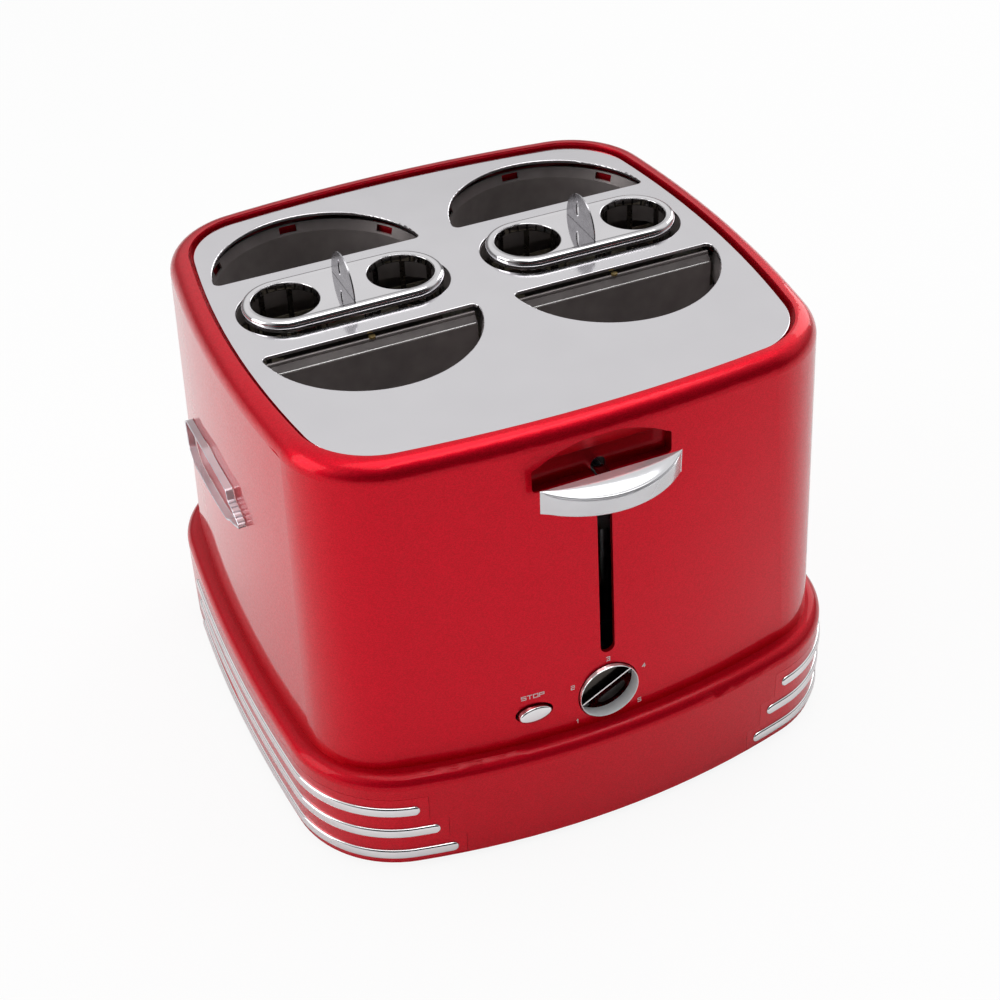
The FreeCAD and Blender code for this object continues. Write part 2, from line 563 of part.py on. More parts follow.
# Curved bun liners with a flared lip, windows and mounting tabs
LINER_GAP = 0.4
LINER_T = 0.8
LINER_Z0 = 64.0
LINER_BEND_Z = 211.0
LINER_LIP_Z = 216.2
LINER_FLARE = 1.8
LINER_LOW_EDGE = 7.2
LINER_EDGE_Z = 203.0
WINDOW_W = 9.0
WINDOW_Z0 = 212.0
WINDOW_Z1 = 215.4
WINDOW_ANGLES = (-54.0, 0.0, 54.0)
TAB_Z = (100.0, 190.0)
TAB_HALF = 8.0
for unit_name, unit in UNITS:
    for side_name, side in SIDES:
        ux = unit * UNIT_X
        yc = moon_centre(side)
        r_in = SLOT_R + LINER_GAP
        centre = Vec(ux, yc, LINER_Z0)
        bend = Vec(ux, yc, LINER_BEND_Z)
        liner = Part.makeCylinder(r_in + LINER_T, LINER_BEND_Z - LINER_Z0, centre)
        liner = liner.cut(Part.makeCylinder(r_in, LINER_BEND_Z - LINER_Z0, centre))
        lip_h = LINER_LIP_Z - LINER_BEND_Z
        lip = Part.makeCone(r_in + LINER_T, r_in + LINER_T + LINER_FLARE, lip_h, bend)
        lip = lip.cut(Part.makeCone(r_in, r_in + LINER_FLARE, lip_h, bend))
        liner = liner.fuse(lip)
        edge_y = UNIT_Y + side * SLOT_EDGE
        low_y = UNIT_Y + side * (SLOT_EDGE + LINER_LOW_EDGE)
        far = side * BIG
        liner = liner.common(block(-BIG, BIG, min(edge_y, far), max(edge_y, far), 0, BIG))
        liner = liner.cut(block(-BIG, BIG, min(edge_y, low_y), max(edge_y, low_y), 0, LINER_EDGE_Z))
        for angle in WINDOW_ANGLES:
            window = block(-WINDOW_W / 2, WINDOW_W / 2, SLOT_R / 2, SLOT_R * 2, WINDOW_Z0, WINDOW_Z1)
            window.translate(Vec(ux, yc, 0))
            turn = angle if side > 0 else angle + HALF_TURN
            window.rotate(Vec(ux, yc, 0), Vec(0, 0, 1), turn)
            liner = liner.cut(window)
        row_y = UNIT_Y + side * LIFT_OFFSET
        inner_x = 0 if unit > 0 else -UNIT_X
        liner = liner.cut(block(inner_x, inner_x + UNIT_X, row_y - SLIT_W / 2, row_y + SLIT_W / 2,
                                0, SLIT_TOP))
        wall_y = CHASSIS_REAR_Y if side > 0 else CHASSIS_FRONT_Y
        apex_y = yc + side * (r_in + LINER_T / 2)
        for tab_z in TAB_Z:
            tab = block(ux - TAB_HALF, ux + TAB_HALF, min(apex_y, wall_y), max(apex_y, wall_y),
                        tab_z, tab_z + LINER_T)
            liner = liner.fuse(tab.cut(Part.makeCylinder(r_in, BIG, Vec(ux, yc, 0))))
        save("bun_liner_" + unit_name + "_" + side_name, liner)

# Flat bun guides with a funnel lip and a heat grid
GUIDE_T = 0.8
GUIDE_OFFSET = 38.6
GUIDE_TOP_OFFSET = 35.4
GUIDE_LIP_Z = 216.4
GUIDE_BEND_Z = 213.0
GUIDE_Z0 = 66.0
GUIDE_SHOULDER_Z = 200.0
GUIDE_HALF_L = 50.0
BEAD_R = 1.0
GRID_COLS = 5
GRID_ROWS = 3
GRID_W = 13.0
GRID_H = 30.0
GRID_PITCH_X = 18.0
GRID_PITCH_Z = 37.0
GRID_Z = 72.0
RIBBON_W = 1.8
RIBBON_ROWS = 14
RIBBON_PITCH = 8.6
RIBBON_Z = 76.0
RIBBON_HALF_L = 46.0
RIVET_R = 1.6
RIVET_H = 1.0
RIVET_SEAT = 0.3


def layer(offset0, offset1, side, x0, x1, z0, z1):
    y0 = UNIT_Y + side * offset0
    y1 = UNIT_Y + side * offset1
    return block(x0, x1, min(y0, y1), max(y0, y1), z0, z1)


rivets = []
for unit_name, unit in UNITS:
    x_low = min(unit * channel_half, unit * SHIELD_X)
    x_high = max(unit * channel_half, unit * SHIELD_X)
    ux = unit * UNIT_X
    for side_name, side in SIDES:
        label = unit_name + "_" + side_name
        guide = layer(GUIDE_OFFSET, GUIDE_OFFSET + GUIDE_T, side, x_low, x_high, GUIDE_Z0, GUIDE_SHOULDER_Z)
        guide = guide.fuse(layer(GUIDE_OFFSET, GUIDE_OFFSET + GUIDE_T, side, ux - GUIDE_HALF_L,
                                 ux + GUIDE_HALF_L, GUIDE_SHOULDER_Z, GUIDE_BEND_Z))
        funnel = [(GUIDE_OFFSET, GUIDE_BEND_Z), (GUIDE_OFFSET + GUIDE_T, GUIDE_BEND_Z),
                  (GUIDE_TOP_OFFSET, GUIDE_LIP_Z + GUIDE_T), (GUIDE_TOP_OFFSET, GUIDE_LIP_Z)]
        corner = [Vec(ux - GUIDE_HALF_L, UNIT_Y + side * po, pz) for po, pz in funnel]
        shelf = Part.Face(Part.makePolygon(corner + [corner[0]])).extrude(Vec(2 * GUIDE_HALF_L, 0, 0))
        bead_y = UNIT_Y + side * GUIDE_TOP_OFFSET
        bead_start = Vec(ux - GUIDE_HALF_L, bead_y, GUIDE_LIP_Z + GUIDE_T / 2)
        bead = Part.makeCylinder(BEAD_R, 2 * GUIDE_HALF_L, bead_start, Vec(1, 0, 0))
        guide = guide.fuse(shelf).fuse(bead)
        for col in range(GRID_COLS):
            gx = ux + (col - (GRID_COLS - 1) / 2) * GRID_PITCH_X
            for row in range(GRID_ROWS):
                gz = GRID_Z + row * GRID_PITCH_Z
                guide = guide.cut(layer(GUIDE_OFFSET - CUT, GUIDE_OFFSET + GUIDE_T + CUT, side,
                                        gx - GRID_W / 2, gx + GRID_W / 2, gz, gz + GRID_H))
        rivet_z = GUIDE_LIP_Z + GUIDE_T / 2 + BEAD_R
        seat = rod(RIVET_R + SCREW_GAP, ux, bead_y, rivet_z - RIVET_SEAT, rivet_z + CUT)
        guide = guide.cut(seat)
        rivets.append(rod(RIVET_R, ux, bead_y, rivet_z - RIVET_SEAT, rivet_z - RIVET_SEAT + RIVET_H))
        save("bun_guide_" + label, guide)
save("guide_rivets", group(rivets))

# Mica heater boards across both units, each with one flat ribbon laid to and fro
for side_name, side in SIDES:
    board = layer(BOARD_OFFSET, BOARD_OFFSET + MICA_T, side, -SHIELD_X, SHIELD_X, MICA_Z0, MICA_Z1)
    board = board.cut(layer(BOARD_OFFSET - CUT, BOARD_OFFSET + MICA_T + CUT, side,
                            -SLIT_W / 2, SLIT_W / 2, MICA_Z0 - CUT, SLIT_TOP))
    save("heater_board_" + side_name, board)
    face = BOARD_OFFSET + MICA_T
    back = face + RIBBON_T
    winding = layer(face, back, side, -UNIT_X, UNIT_X, RIBBON_Z + (RIBBON_ROWS - 1) * RIBBON_PITCH,
                    RIBBON_Z + (RIBBON_ROWS - 1) * RIBBON_PITCH + RIBBON_W)
    for unit_name, unit in UNITS:
        ux = unit * UNIT_X
        for row in range(RIBBON_ROWS):
            rz = RIBBON_Z + row * RIBBON_PITCH
            piece = layer(face, back, side, ux - RIBBON_HALF_L, ux + RIBBON_HALF_L, rz, rz + RIBBON_W)
            if row + 1 < RIBBON_ROWS:
                at_high_end = (row % 2 == 0) == (unit > 0)
                end = ux + (RIBBON_HALF_L - RIBBON_W if at_high_end else -RIBBON_HALF_L)
                piece = piece.fuse(layer(face, back, side, end, end + RIBBON_W, rz,
                                         rz + RIBBON_PITCH + RIBBON_W))
            winding = winding.fuse(piece)
    save("heater_winding_" + side_name, winding.removeSplitter())

# Guide rods
front_rods = [rod(ROD_R, unit * ROD_X, ROD_Y, ROD_Z0, ROD_Z1) for unit_name, unit in UNITS]
save("guide_rods_front", group(front_rods))
save("guide_rod_rear", rod(REAR_ROD_R, 0, REAR_ROD_Y, ROD_Z0, ROD_Z1))

# Carriage bracket, beam and latch plate
BRACKET_Y = -97.0
BRACKET_T = 1.5
BRACKET_HALF_W = 28.0
EAR_HALF_W = 40.0
BRACKET_Z0 = 138.0
BRACKET_Z1 = 200.0
FLANGE_REAR_Y = -78.0
bracket = block(-BRACKET_HALF_W, BRACKET_HALF_W, BRACKET_Y, BRACKET_Y + BRACKET_T, BRACKET_Z0, BRACKET_Z1)
bracket = bracket.fuse(block(-BRACKET_HALF_W, BRACKET_HALF_W, BRACKET_Y, FLANGE_REAR_Y,
                             BRACKET_Z1 - BRACKET_T, BRACKET_Z1))
bracket = bracket.fuse(block(-EAR_HALF_W, EAR_HALF_W, BRACKET_Y, FLANGE_REAR_Y,
                             BRACKET_Z0, BRACKET_Z0 + BRACKET_T))
for unit_name, unit in UNITS:
    bracket = bracket.cut(rod(ROD_R + ROD_RUN, unit * ROD_X, ROD_Y, CHASSIS_Z0, CHASSIS_Z1))
save("carriage_bracket", bracket)
BEAM_HALF_W = 2.2
BEAM_H = 10.0
BEAM_Z0 = BRACKET_Z0 + BRACKET_T
BEAM_Z1 = BEAM_Z0 + BEAM_H
BEAM_BOSS_R = 5.0
beam = block(-BEAM_HALF_W, BEAM_HALF_W, BRACKET_Y + BRACKET_T, REAR_ROD_Y, BEAM_Z0, BEAM_Z1)
beam = beam.fuse(rod(BEAM_BOSS_R, 0, REAR_ROD_Y, BEAM_Z0, BEAM_Z1))
beam = beam.cut(rod(REAR_ROD_R + ROD_RUN, 0, REAR_ROD_Y, CHASSIS_Z0, CHASSIS_Z1))
ARM_H = 6.0
ARM_HALF_W = 2.5
NOTCH_GAP = 0.05
for row_y in ARM_ROWS:
    notch_half = ARM_HALF_W + NOTCH_GAP
    beam = beam.cut(block(-BEAM_HALF_W, BEAM_HALF_W, row_y - notch_half, row_y + notch_half,
                          BEAM_Z1 - ARM_H, BEAM_Z1))
save("carriage_beam", beam)
LATCH_HALF_W = 10.0
LATCH_T = 1.8
LATCH_Y0 = -92.0
LATCH_Y1 = -80.0
latch = block(-LATCH_HALF_W, LATCH_HALF_W, LATCH_Y0, LATCH_Y1, BRACKET_Z0 - LATCH_T, BRACKET_Z0)
save("latch_plate", latch)

# Electromagnet that holds the carriage down
LATCH_AIR = 0.2
MAGNET_TOP = BRACKET_Z0 - LATCH_T - TRAVEL - LATCH_AIR
MAGNET_BASE = TAB_LOW_Z + SHEET
MAGNET_PLATE = 2.0
CORE_HALF = 3.0
COIL_HALF = 7.0
COIL_OVER = 3.0
COIL_LOW = 1.0
core = block(-LATCH_HALF_W, LATCH_HALF_W, LATCH_Y0, LATCH_Y1, MAGNET_BASE, MAGNET_BASE + MAGNET_PLATE)
core = core.fuse(block(-CORE_HALF, CORE_HALF, LATCH_Y0, LATCH_Y1, MAGNET_BASE, MAGNET_TOP))
for x0 in (-LATCH_HALF_W, LATCH_HALF_W - MAGNET_PLATE):
    core = core.fuse(block(x0, x0 + MAGNET_PLATE, LATCH_Y0, LATCH_Y1, MAGNET_BASE, MAGNET_TOP))
coil = block(-COIL_HALF, COIL_HALF, LATCH_Y0 - COIL_OVER, LATCH_Y1 + COIL_OVER, MAGNET_BASE + MAGNET_PLATE,
             MAGNET_TOP - COIL_LOW)
save("latch_magnet", core.fuse(coil))

# Bun lifters and basket cradles carried by the beam
LIFT_CLEAR = 2.4
LIFT_EDGE = 6.4
LIFT_T = 1.4
ARM_END = 84.0
CAGE_PITCH = 28.35
PAD_R = 13.0
for side_name, side in SIDES:
    row_y = UNIT_Y + side * LIFT_OFFSET
    lifter = block(-ARM_END, ARM_END, row_y - ARM_HALF_W, row_y + ARM_HALF_W, BEAM_Z1 - ARM_H, BEAM_Z1)
    for unit_name, unit in UNITS:
        lifter = lifter.fuse(moon(unit * UNIT_X, side, LIFT_CLEAR, LIFT_EDGE, BEAM_Z1, BEAM_Z1 + LIFT_T))
    save("bun_lifter_" + side_name, lifter)
cradle_end = UNIT_X + CAGE_PITCH
cradle = block(-cradle_end, cradle_end, UNIT_Y - ARM_HALF_W, UNIT_Y + ARM_HALF_W, BEAM_Z1 - ARM_H, BEAM_Z1)
for unit_name, unit in UNITS:
    for tube in (-1, 1):
        pad_x = unit * UNIT_X + tube * CAGE_PITCH
        cradle = cradle.fuse(rod(PAD_R, pad_x, UNIT_Y, BEAM_Z1, BEAM_Z1 + LIFT_T))
save("basket_cradle", cradle)

# Return springs of the carriage
SPRING_X = 34.0
SPRING_R = 3.4
WIRE_R = 0.45
SPRING_SEAT = 0.3
SPRING_Z0 = BEAM_Z0 + WIRE_R + SPRING_SEAT
SPRING_Z1 = TAB_TOP_Z - WIRE_R - SPRING_SEAT
SPRING_TURNS = 24
springs = []
for unit_name, unit in UNITS:
    height = SPRING_Z1 - SPRING_Z0
    helix = Part.makeHelix(height / SPRING_TURNS, height, SPRING_R)
    ring = Part.Wire(Part.makeCircle(WIRE_R, Vec(SPRING_R, 0, 0), Vec(0, 1, 0)))
    spring = Part.Wire(helix.Edges).makePipeShell([ring], True, True)
    spring.translate(Vec(unit * SPRING_X, ROD_Y, SPRING_Z0))
    springs.append(spring)
save("return_springs", group(springs))

# Lever: steel arm through the slot and a chrome crescent grip
ARM_W = 2.4
LEVER_ARM_Z0 = 191.0
LEVER_ARM_Z1 = 198.0
GRIP_Y0 = -134.0
GRIP_FRONT = LEVER_REACH_Y
GRIP_HALF_L = 33.3
GRIP_Z0 = 189.6
GRIP_Z1 = 201.4
GRIP_SOCKET = 9.0
GRIP_EDGE = 2.2
GRIP_DISH = 2.4
GRIP_TAPER = 2.5
SOCKET_GAP = 0.05
save("lever_arm", block(-ARM_W, ARM_W, GRIP_Y0 - GRIP_SOCKET, BRACKET_Y, LEVER_ARM_Z0, LEVER_ARM_Z1))


def crescent(inset, z0, z1):
    half = GRIP_HALF_L - GRIP_TAPER * inset
    front = GRIP_FRONT + inset
    arc = Part.Arc(Vec(-half, GRIP_Y0, z0), Vec(0, front, z0), Vec(half, GRIP_Y0, z0))
    line = Part.LineSegment(Vec(half, GRIP_Y0, z0), Vec(-half, GRIP_Y0, z0))
    return Part.Face(Part.Wire([arc.toShape(), line.toShape()])).extrude(Vec(0, 0, z1 - z0))


grip = crescent(0, GRIP_Z0, GRIP_Z1)
grip = grip.cut(crescent(GRIP_EDGE, GRIP_Z1 - GRIP_DISH, GRIP_Z1 + CUT))
socket_half = ARM_W + SOCKET_GAP
grip = grip.cut(block(-socket_half, socket_half, GRIP_Y0 - GRIP_SOCKET - SOCKET_GAP, GRIP_Y0 + CUT,
                      LEVER_ARM_Z0 - 2 * CUT, LEVER_ARM_Z1 + SOCKET_GAP))
save("lever_grip", grip)

# Browning control: knob, shaft, rotary switch, control board, stop button and its switch
KNOB_BACK_Y = -120.0
KNOB_FACE_Y = -135.0
KNOB_RIM = 0.8
FIN_Y = -130.4
SCOOP_R = 9.3
SCOOP_OFFSET = 8.1
SCOOP_Y = -135.6
KNOB_ANGLE = 61.0
SHAFT_R = 3.0
SHAFT_TIP_Y = -126.0
knob = rod_y(KNOB_R, 0, 0, KNOB_FACE_Y, KNOB_BACK_Y)
cup = rod_y(KNOB_R - KNOB_RIM, 0, 0, KNOB_FACE_Y - CUT, KNOB_BACK_Y)
hollow = block(-KNOB_R, KNOB_R, KNOB_FACE_Y - CUT, FIN_Y, -KNOB_R, KNOB_R)
for way in (-1, 1):
    hollow = hollow.fuse(rod(SCOOP_R, way * SCOOP_OFFSET, SCOOP_Y, -KNOB_R, KNOB_R))
knob = knob.cut(hollow.common(cup))
knob = knob.cut(rod_y(SHAFT_R + SOCKET_GAP, 0, 0, SHAFT_TIP_Y - SOCKET_GAP, KNOB_BACK_Y + CUT))
knob.rotate(Vec(0, 0, 0), Vec(0, 1, 0), KNOB_ANGLE)
knob.translate(Vec(KNOB_X, 0, KNOB_Z))
save("browning_knob", knob)
SWITCH_HALF = 8.0
SWITCH_DEPTH = 9.0
BOARD_FRONT = BOARD_Y - BOARD_T
save("knob_shaft", rod_y(SHAFT_R, KNOB_X, KNOB_Z, SHAFT_TIP_Y, BOARD_FRONT - SWITCH_DEPTH / 2))
rotary = block(KNOB_X - SWITCH_HALF, KNOB_X + SWITCH_HALF, BOARD_FRONT - SWITCH_DEPTH, BOARD_FRONT,
               KNOB_Z - SWITCH_HALF, KNOB_Z + SWITCH_HALF)
rotary = rotary.cut(rod_y(SHAFT_R + ROD_RUN, KNOB_X, KNOB_Z, BOARD_FRONT - SWITCH_DEPTH - CUT,
                          BOARD_FRONT - SWITCH_DEPTH / 2 + SOCKET_GAP))
save("rotary_switch", rotary)
circuit = block(BOARD_X0, BOARD_X1, BOARD_FRONT, BOARD_Y, BOARD_Z0, BOARD_Z1)
BUTTON_STROKE = 2.0
BUTTON_ROUND = 1.0
BUTTON_FACE_Y = -135.0
BUTTON_BACK_Y = -127.0
FLANGE_GROW = 2.2
FLANGE_T = 1.2
STEM_R = 2.0
TACT_HALF = 3.0
TACT_DEPTH = 5.0
cap = oval(BUTTON_A, BUTTON_B, BUTTON_X, BUTTON_Z, BUTTON_FACE_Y, BUTTON_BACK_Y)
cap_edges = [edge for edge in cap.Edges if edge.BoundBox.YMax < BUTTON_FACE_Y + SOCKET_GAP]
cap = cap.makeFillet(BUTTON_ROUND, cap_edges)
cap = cap.fuse(oval(BUTTON_A + FLANGE_GROW, BUTTON_B + FLANGE_GROW, BUTTON_X, BUTTON_Z,
                    BUTTON_BACK_Y, BUTTON_BACK_Y + FLANGE_T))
stem_end_y = BOARD_FRONT - TACT_DEPTH - BUTTON_STROKE - SOCKET_GAP
cap = cap.fuse(rod_y(STEM_R, BUTTON_X, BUTTON_Z, BUTTON_BACK_Y, stem_end_y))
save("stop_button", cap)
circuit = circuit.fuse(block(BUTTON_X - TACT_HALF, BUTTON_X + TACT_HALF, BOARD_FRONT - TACT_DEPTH,
                             BOARD_FRONT, BUTTON_Z - TACT_HALF, BUTTON_Z + TACT_HALF))
RELAY_X = 34.0
RELAY_W = 14.0
RELAY_D = 12.0
RELAY_H = 16.0
RELAY_LIFT = 4.0
relay_z = BOARD_Z0 + RELAY_LIFT
circuit = circuit.fuse(block(RELAY_X - RELAY_W / 2, RELAY_X + RELAY_W / 2, BOARD_FRONT - RELAY_D,
                             BOARD_FRONT, relay_z, relay_z + RELAY_H))
save("control_board", circuit)
TERMINAL_X = 62.0
TERMINAL_W = 26.0
TERMINAL_D = 11.0
TERMINAL_H = 14.0
TERMINAL_Z = 70.0
terminal_y = CHASSIS_REAR_Y + SHEET
save("terminal_block", block(TERMINAL_X - TERMINAL_W / 2, TERMINAL_X + TERMINAL_W / 2, terminal_y,
                             terminal_y + TERMINAL_D, TERMINAL_Z, TERMINAL_Z + TERMINAL_H))

# Sausage baskets: polished frame, two tube cages and a lifting tab each
FRAME_TOP = 226.0
FRAME_T = 1.2
FRAME_R = 20.3
FRAME_HALF_L = CAGE_PITCH + FRAME_R
FRAME_SKIRT = 5.5
FRAME_ROUND = 2.2
MOUTH_R = 16.5
MOUTH_LIP_T = 0.9
MOUTH_LIP_H = 3.0
CAGE_R = 17.6
CAGE_T = 0.9
CAGE_BARS = 8
BAR_W = 2.6
RING_H = 3.0
CAGE_SINK = 1.0
BAND_Z = 197.0
CAGE_SEAT = 0.05
CAGE_Z0 = BEAM_Z1 + LIFT_T + CAGE_SEAT
CROSS_TURNS = (45.0, 135.0)
TAB_W = 30.0
TAB_H = 16.0
TAB_T = 1.2
TAB_HOLE_R = 3.3
TAB_HOLE_Z = 9.5
TAB_FOOT_W = 4.0
TAB_FOOT_L = 3.0
cage_top = FRAME_TOP - FRAME_T - CAGE_SINK
for unit_name, unit in UNITS:
    ux = unit * UNIT_X
    frame = stadium(ux, FRAME_HALF_L, FRAME_R, FRAME_TOP - FRAME_SKIRT, FRAME_TOP)
    crown = [edge for edge in frame.Edges if edge.BoundBox.ZMin > FRAME_TOP - CUT]
    frame = frame.makeFillet(FRAME_ROUND, crown)
    frame = frame.cut(stadium(ux, FRAME_HALF_L - FRAME_T, FRAME_R - FRAME_T,
                              FRAME_TOP - FRAME_SKIRT - CUT, cage_top))
    for tube in (-1, 1):
        tx = ux + tube * CAGE_PITCH
        lip = rod(MOUTH_R + MOUTH_LIP_T, tx, UNIT_Y, FRAME_TOP - FRAME_T - MOUTH_LIP_H, FRAME_TOP - FRAME_T)
        frame = frame.fuse(lip).cut(rod(MOUTH_R, tx, UNIT_Y, 0, FRAME_TOP + CUT))
    save("basket_frame_" + unit_name, frame.removeSplitter())
    cages = None
    for tube in (-1, 1):
        tx = ux + tube * CAGE_PITCH
        cage = rod(CAGE_R + CAGE_T, tx, UNIT_Y, CAGE_Z0, CAGE_Z0 + RING_H)
        cage = cage.fuse(rod(CAGE_R + CAGE_T, tx, UNIT_Y, BAND_Z, BAND_Z + RING_H))
        cage = cage.fuse(rod(CAGE_R + CAGE_T, tx, UNIT_Y, cage_top - RING_H, cage_top))
        cylinder = rod(CAGE_R + CAGE_T, tx, UNIT_Y, CAGE_Z0, cage_top)
        for index in range(CAGE_BARS):
            bar = block(CAGE_R - CUT, CAGE_R + CAGE_T + CUT, -BAR_W / 2, BAR_W / 2, CAGE_Z0, cage_top)
            bar.rotate(Vec(0, 0, 0), Vec(0, 0, 1), (index + 0.5) * 2 * HALF_TURN / CAGE_BARS)
            bar.translate(Vec(tx, UNIT_Y, 0))
            cage = cage.fuse(bar.common(cylinder))
        cage = cage.cut(rod(CAGE_R, tx, UNIT_Y, 0, BIG))
        for turn in CROSS_TURNS:
            cross = block(-CAGE_R - CAGE_T / 2, CAGE_R + CAGE_T / 2, -BAR_W / 2, BAR_W / 2,
                          CAGE_Z0, CAGE_Z0 + CAGE_T)
            cross.rotate(Vec(0, 0, 0), Vec(0, 0, 1), turn)
            cross.translate(Vec(tx, UNIT_Y, 0))
            cage = cage.fuse(cross)
        cages = cage if cages is None else cages.fuse(cage)
    run = CAGE_PITCH - CAGE_R
    for z0 in (CAGE_Z0, BAND_Z):
        link = block(ux - run, ux + run, UNIT_Y - BAR_W / 2, UNIT_Y + BAR_W / 2, z0, z0 + RING_H)
        for tube in (-1, 1):
            link = link.cut(rod(CAGE_R, ux + tube * CAGE_PITCH, UNIT_Y, 0, BIG))
        cages = cages.fuse(link)
    save("basket_cage_" + unit_name, cages)
    half = TAB_W / 2
    near = Vec(ux - TAB_T / 2, UNIT_Y - half, FRAME_TOP)
    crest = Vec(ux - TAB_T / 2, UNIT_Y, FRAME_TOP + TAB_H)
    away = Vec(ux - TAB_T / 2, UNIT_Y + half, FRAME_TOP)
    outline = [Part.Arc(near, crest, away).toShape(), Part.LineSegment(away, near).toShape()]
    tab = Part.Face(Part.Wire(outline)).extrude(Vec(TAB_T, 0, 0))
    hole_start = Vec(-BIG / 2, UNIT_Y, FRAME_TOP + TAB_HOLE_Z)
    tab = tab.cut(Part.makeCylinder(TAB_HOLE_R, BIG, hole_start, Vec(1, 0, 0)))
    for way in (-1, 1):
        foot_y = UNIT_Y + way * (half - TAB_FOOT_L)
        tab = tab.fuse(block(ux - TAB_FOOT_W / 2, ux + TAB_FOOT_W / 2, foot_y - TAB_FOOT_L / 2,
                             foot_y + TAB_FOOT_L / 2, FRAME_TOP, FRAME_TOP + TAB_T))
    save("basket_tab_" + unit_name, tab)

# Serving tongs of bent steel strip, held against the left wall by two magnets behind it
TONGS_GAP = 0.3
TONGS_W = 3.5
STRIP_T = 1.0
TONGS_X = (-150.0, -100.0)
TONGS_UPPER = [(66.0, 142.0), (63.0, 145.0), (22.0, 155.0), (-16.0, 156.5), (-17.5, 151.5), (-23.0, 150.0),
               (-31.0, 146.5)]
TONGS_LOWER = [(66.0, 142.0), (64.5, 139.0), (62.0, 129.5), (48.0, 127.5), (24.0, 132.5), (6.0, 134.8),
               (-12.0, 137.0), (-18.0, 140.5), (-25.0, 142.5), (-31.0, 145.0)]


def wall_body(offset):
    foot = plan_wire(SHELL_FOOT_PLAN, -offset, BASE_TOP)
    head = plan_wire(SHELL_TOP_PLAN, -offset, RIM_TOP)
    return Part.makeLoft([foot, head], True, True)


def ribbon(points):
    strip = None
    for (ya, za), (yb, zb) in zip(points[:-1], points[1:]):
        length = math.hypot(yb - ya, zb - za)
        ny = -(zb - za) / length * STRIP_T / 2
        nz = (yb - ya) / length * STRIP_T / 2
        x0, x1 = TONGS_X
        quad = [Vec(x0, ya + ny, za + nz), Vec(x0, yb + ny, zb + nz),
                Vec(x0, yb - ny, zb - nz), Vec(x0, ya - ny, za - nz)]
        piece = Part.Face(Part.makePolygon(quad + [quad[0]])).extrude(Vec(x1 - x0, 0, 0))
        knee = Part.makeCylinder(STRIP_T / 2, x1 - x0, Vec(x0, yb, zb), Vec(1, 0, 0))
        piece = piece.fuse(knee)
        strip = piece if strip is None else strip.fuse(piece)
    return strip


tongs = ribbon(TONGS_UPPER).fuse(ribbon(TONGS_LOWER))
tongs = tongs.common(wall_body(TONGS_GAP + TONGS_W)).cut(wall_body(TONGS_GAP))
save("tongs", tongs)
MAGNET_R = 6.0
MAGNET_T = 2.0
MAGNET_SEAT = 0.05
MAGNET_YZ = ((2.0, 155.9), (0.0, 135.6))
magnets = []
for magnet_y, magnet_z in MAGNET_YZ:
    disc = Part.makeCylinder(MAGNET_R, BIG, Vec(-BIG, magnet_y, magnet_z), Vec(1, 0, 0))
    disc = disc.common(wall_body(-SHELL_T - MAGNET_SEAT))
    disc = disc.cut(wall_body(-SHELL_T - MAGNET_SEAT - MAGNET_T))
    magnets.append(disc)
save("tongs_magnets", group(magnets))
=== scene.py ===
import bmesh
import bpy
import math
from mathutils import Matrix, Vector
from mathutils.geometry import tessellate_polygon


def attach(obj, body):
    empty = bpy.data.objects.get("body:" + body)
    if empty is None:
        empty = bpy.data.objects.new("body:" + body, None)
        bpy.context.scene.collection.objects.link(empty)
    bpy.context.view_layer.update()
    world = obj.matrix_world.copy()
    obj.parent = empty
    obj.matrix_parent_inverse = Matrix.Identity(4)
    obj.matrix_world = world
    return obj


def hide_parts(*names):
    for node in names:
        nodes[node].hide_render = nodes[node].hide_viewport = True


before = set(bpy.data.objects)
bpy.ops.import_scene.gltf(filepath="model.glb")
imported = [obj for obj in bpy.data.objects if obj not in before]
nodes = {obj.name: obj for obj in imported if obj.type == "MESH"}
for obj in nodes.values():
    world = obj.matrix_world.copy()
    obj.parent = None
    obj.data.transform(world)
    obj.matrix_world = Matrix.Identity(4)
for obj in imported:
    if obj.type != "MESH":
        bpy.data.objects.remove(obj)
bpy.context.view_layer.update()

# Camera: stands in front of the toaster and to its left, above the top plate, and looks down on it.
# It is a short telephoto on a 36 mm wide sensor, rolled a little anticlockwise.
SENSOR_WIDTH = 36.0
LENS = 63.763
CLIP_END = 50.0
CAMERA_PLACE = (-0.27386, -0.66140, 0.64450)
CAMERA_RIGHT = (0.911803, -0.409592, -0.029150)
CAMERA_DOWN = (-0.271405, -0.547863, -0.791319)
CAMERA_FORWARD = (0.308148, 0.729438, -0.610709)
camera_data = bpy.data.cameras.new("camera")
camera_data.sensor_width = SENSOR_WIDTH
camera_data.lens = LENS
camera_data.clip_end = CLIP_END
camera = bpy.data.objects.new("camera", camera_data)
bpy.context.scene.collection.objects.link(camera)
axes = Matrix((CAMERA_RIGHT, [-v for v in CAMERA_DOWN], [-v for v in CAMERA_FORWARD])).transposed()
camera.matrix_world = Matrix.Translation(CAMERA_PLACE) @ axes.to_4x4()
bpy.context.scene.camera = camera
bpy.context.scene.view_settings.view_transform = "Standard"

